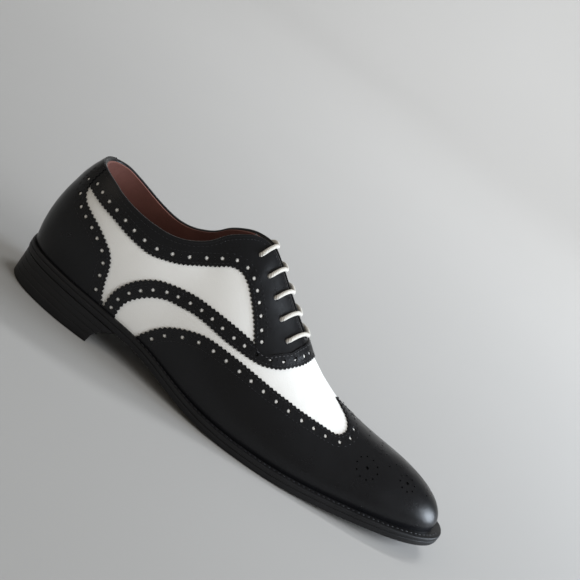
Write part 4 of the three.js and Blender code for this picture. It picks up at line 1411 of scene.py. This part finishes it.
def make_stage(settings):
    paper = studio_paper("paper_grey", settings.floor_colour)
    bm = bmesh.new()
    run = [(-4.0, 0.0), (1.4, 0.0)]
    run += [(1.4 + 0.9 * math.sin(a), 0.9 - 0.9 * math.cos(a)) for a in np.linspace(0.1, math.pi / 2, 14)]
    run.append((2.3, 4.0))
    verts = [bm.verts.new((-6.0, y, z)) for y, z in run]
    edges = [bm.edges.new(pair) for pair in zip(verts, verts[1:])]
    grown = bmesh.ops.extrude_edge_only(bm, edges=edges)["geom"]
    bmesh.ops.translate(bm, verts=[g for g in grown if isinstance(g, bmesh.types.BMVert)], vec=(12.0, 0, 0))
    bmesh.ops.recalc_face_normals(bm, faces=bm.faces)
    floor = add_piece("floor", bm)
    floor.data.shade_smooth()
    floor.data.materials.append(paper)

    for name, spot, aim, size, power, colour in (
        ("key_light", (1.50, 0.20, 0.50), (0.02, 0.0, 0.04), 0.8, settings.key_power, (0.80, 0.89, 1.0)),
        ("side_light", (1.15, -0.82, 0.84), (0.05, 0.0, 0.05), 1.1, settings.side_power, (0.93, 0.96, 1.0)),
        ("fill_light", (-1.3, -0.9, 0.9), (0.0, 0.0, 0.04), 1.4, settings.fill_power, (1.0, 0.88, 0.74)),
        ("back_light", (0.5, 0.9, 1.5), (0.4, 2.0, 0.3), 0.8, settings.back_power, (0.95, 0.97, 1.0)),
    ):
        data = bpy.data.lights.new(name, "AREA")
        data.shape = "DISK"
        data.size = size
        data.energy = power
        data.color = colour
        light = bpy.data.objects.new(name, data)
        light.location = spot
        light.rotation_mode = "QUATERNION"
        light.rotation_quaternion = (Vector(spot) - Vector(aim)).to_track_quat("Z", "Y")
        light.visible_glossy = name in ("key_light", "fill_light")
        bpy.context.scene.collection.objects.link(light)
    world = bpy.data.worlds.new("room")
    world.use_nodes = True
    world.node_tree.nodes["Background"].inputs["Color"].default_value = (0.90, 0.86, 0.78, 1)
    world.node_tree.nodes["Background"].inputs["Strength"].default_value = settings.room_light
    bpy.context.scene.world = world
    bpy.context.scene.view_settings.view_transform = "Standard"

    turn, lift, roll = (math.radians(a) for a in CAMERA_ANGLES)
    back = Vector((math.sin(turn) * math.cos(lift), -math.cos(turn) * math.cos(lift), math.sin(lift)))
    right = (-back).cross(Vector((0, 0, 1))).normalized()
    up = right.cross(-back)
    right, up = (
        right * math.cos(roll) + up * math.sin(roll),
        up * math.cos(roll) - right * math.sin(roll),
    )
    data = bpy.data.cameras.new("camera")
    data.sensor_width = 36.0
    data.lens = CAMERA_LENS
    data.clip_start, data.clip_end = 0.01, 50.0
    camera = bpy.data.objects.new("camera", data)
    where = Vector(place(CAMERA_AIM)) + back * CAMERA_AWAY
    camera.matrix_world = Matrix((
        (right.x, up.x, back.x, where.x), (right.y, up.y, back.y, where.y),
        (right.z, up.z, back.z, where.z), (0, 0, 0, 1),
    ))
    bpy.context.scene.collection.objects.link(camera)
    bpy.context.scene.camera = camera


# The add-on


def colour(name, description, default):
    return FloatVectorProperty(
        name=name, description=description, default=default, subtype="COLOR", size=3, min=0.0, max=1.0,
    )


def power(name, description, default):
    return FloatProperty(name=name, description=description, default=default, unit="POWER")


class ShoeSettings(bpy.types.PropertyGroup):
    """Sizes and colours of the shoe and its stage"""

    lace: FloatProperty(name="Lace", description="Diameter of the lace", default=0.0026, unit="LENGTH")
    black_colour: colour("Black leather", "Colour of the overlays", (0.0055, 0.0057, 0.0068))
    white_colour: colour("White leather", "Colour of the quarters and vamp", (0.80, 0.79, 0.76))
    lining_colour: colour("Lining", "Colour of the lining and sock", (0.17, 0.072, 0.058))
    sole_colour: colour("Sole", "Colour of the inked sole and heel", (0.007, 0.007, 0.0078))
    lace_colour: colour("Lace colour", "Colour of the cotton lace", (0.70, 0.67, 0.61))
    thread_colour: colour("Thread", "Colour of the stitches", (0.012, 0.012, 0.014))
    floor_colour: colour("Floor", "Colour of the floor and backdrop", (0.40, 0.395, 0.385))
    key_power: power("Key light", "Power of the light at the toe", 30.0)
    fill_power: power("Fill light", "Power of the light at the heel", 3.0)
    side_power: power("Side light", "Power of the soft light by the camera", 18.0)
    back_power: power("Back light", "Power of the light on the backdrop", 34.0)
    room_light: FloatProperty(
        name="Room light", description="Strength of the room's even light", default=0.30,
    )


def finishes(settings):
    """The shoe's materials, made once and then looked up by name."""
    if "calf_black" not in bpy.data.materials:
        calf("calf_black", tuple(settings.black_colour), 0.30, shine=0.28)
        calf("calf_white", tuple(settings.white_colour), 0.46, mottle=0.95)
        lining_hide("lining_brown", tuple(settings.lining_colour))
        edge_ink("sole_ink", tuple(settings.sole_colour))
        cotton("lace_cotton", tuple(settings.lace_colour))
        thread_wax("thread_black", tuple(settings.thread_colour))
        thread_wax("thread_grey", (0.09, 0.09, 0.095))
    return bpy.data.materials


class SHOE_OT_sole(bpy.types.Operator):
    """Makes the outsole, the welt and the heel"""

    bl_idname = "shoe.sole"
    bl_label = "Sole and Heel"

    def execute(self, context):
        made = finishes(chosen())
        make_sole(made["sole_ink"])
        make_heel(made["sole_ink"])
        make_welt_stitches(made["thread_black"])
        return {"FINISHED"}


class SHOE_OT_white(bpy.types.Operator):
    """Makes the white upper, its lining and the sock"""

    bl_idname = "shoe.white"
    bl_label = "White Upper"

    def execute(self, context):
        made = finishes(chosen())
        make_white(made["calf_white"], made["lining_brown"])
        make_sock(made["lining_brown"])
        return {"FINISHED"}


class SHOE_OT_overlays(bpy.types.Operator):
    """Makes the black overlays with their teeth and punching"""

    bl_idname = "shoe.overlays"
    bl_label = "Black Overlays"

    def execute(self, context):
        made = finishes(chosen())
        for make in (make_wing, make_counter, make_facing, make_band):
            make(made["calf_black"], made["calf_white"])
        make_binding(made["calf_black"])
        return {"FINISHED"}


class SHOE_OT_stitches(bpy.types.Operator):
    """Sews the rows of stitches along the overlays"""

    bl_idname = "shoe.stitches"
    bl_label = "Stitches"

    def execute(self, context):
        made = finishes(chosen())
        make_stitches(made["thread_black"], made["thread_grey"])
        return {"FINISHED"}


class SHOE_OT_lacing(bpy.types.Operator):
    """Makes the tongue and the lace"""

    bl_idname = "shoe.lacing"
    bl_label = "Tongue and Lace"

    def execute(self, context):
        made = finishes(chosen())
        make_tongue(made["calf_black"])
        make_lace(chosen().lace, made["lace_cotton"])
        return {"FINISHED"}


class SHOE_OT_stage(bpy.types.Operator):
    """Makes the floor, the lights and the camera"""

    bl_idname = "shoe.stage"
    bl_label = "Stage"

    def execute(self, context):
        make_stage(chosen())
        return {"FINISHED"}


class SHOE_PT_panel(bpy.types.Panel):
    """Lists the shoe's pieces and settings"""

    bl_label = "Spectator Shoe"
    bl_space_type = "VIEW_3D"
    bl_region_type = "UI"
    bl_category = "Shoe"

    def draw(self, context):
        for operator in OPERATORS:
            self.layout.operator(operator.bl_idname)
        for name in ShoeSettings.__annotations__:
            self.layout.prop(context.scene.shoe, name)


OPERATORS = (SHOE_OT_sole, SHOE_OT_white, SHOE_OT_overlays, SHOE_OT_stitches, SHOE_OT_lacing, SHOE_OT_stage)
CLASSES = (ShoeSettings, *OPERATORS, SHOE_PT_panel)


def register():
    for cls in CLASSES:
        bpy.utils.register_class(cls)
    bpy.types.Scene.shoe = PointerProperty(type=ShoeSettings)


def unregister():
    del bpy.types.Scene.shoe
    for cls in reversed(CLASSES):
        bpy.utils.unregister_class(cls)


def main():
    register()
    bpy.ops.shoe.sole()
    bpy.ops.shoe.white()
    bpy.ops.shoe.overlays()
    bpy.ops.shoe.stitches()
    bpy.ops.shoe.lacing()
    bpy.ops.shoe.stage()


if __name__ == "__main__":
    main()
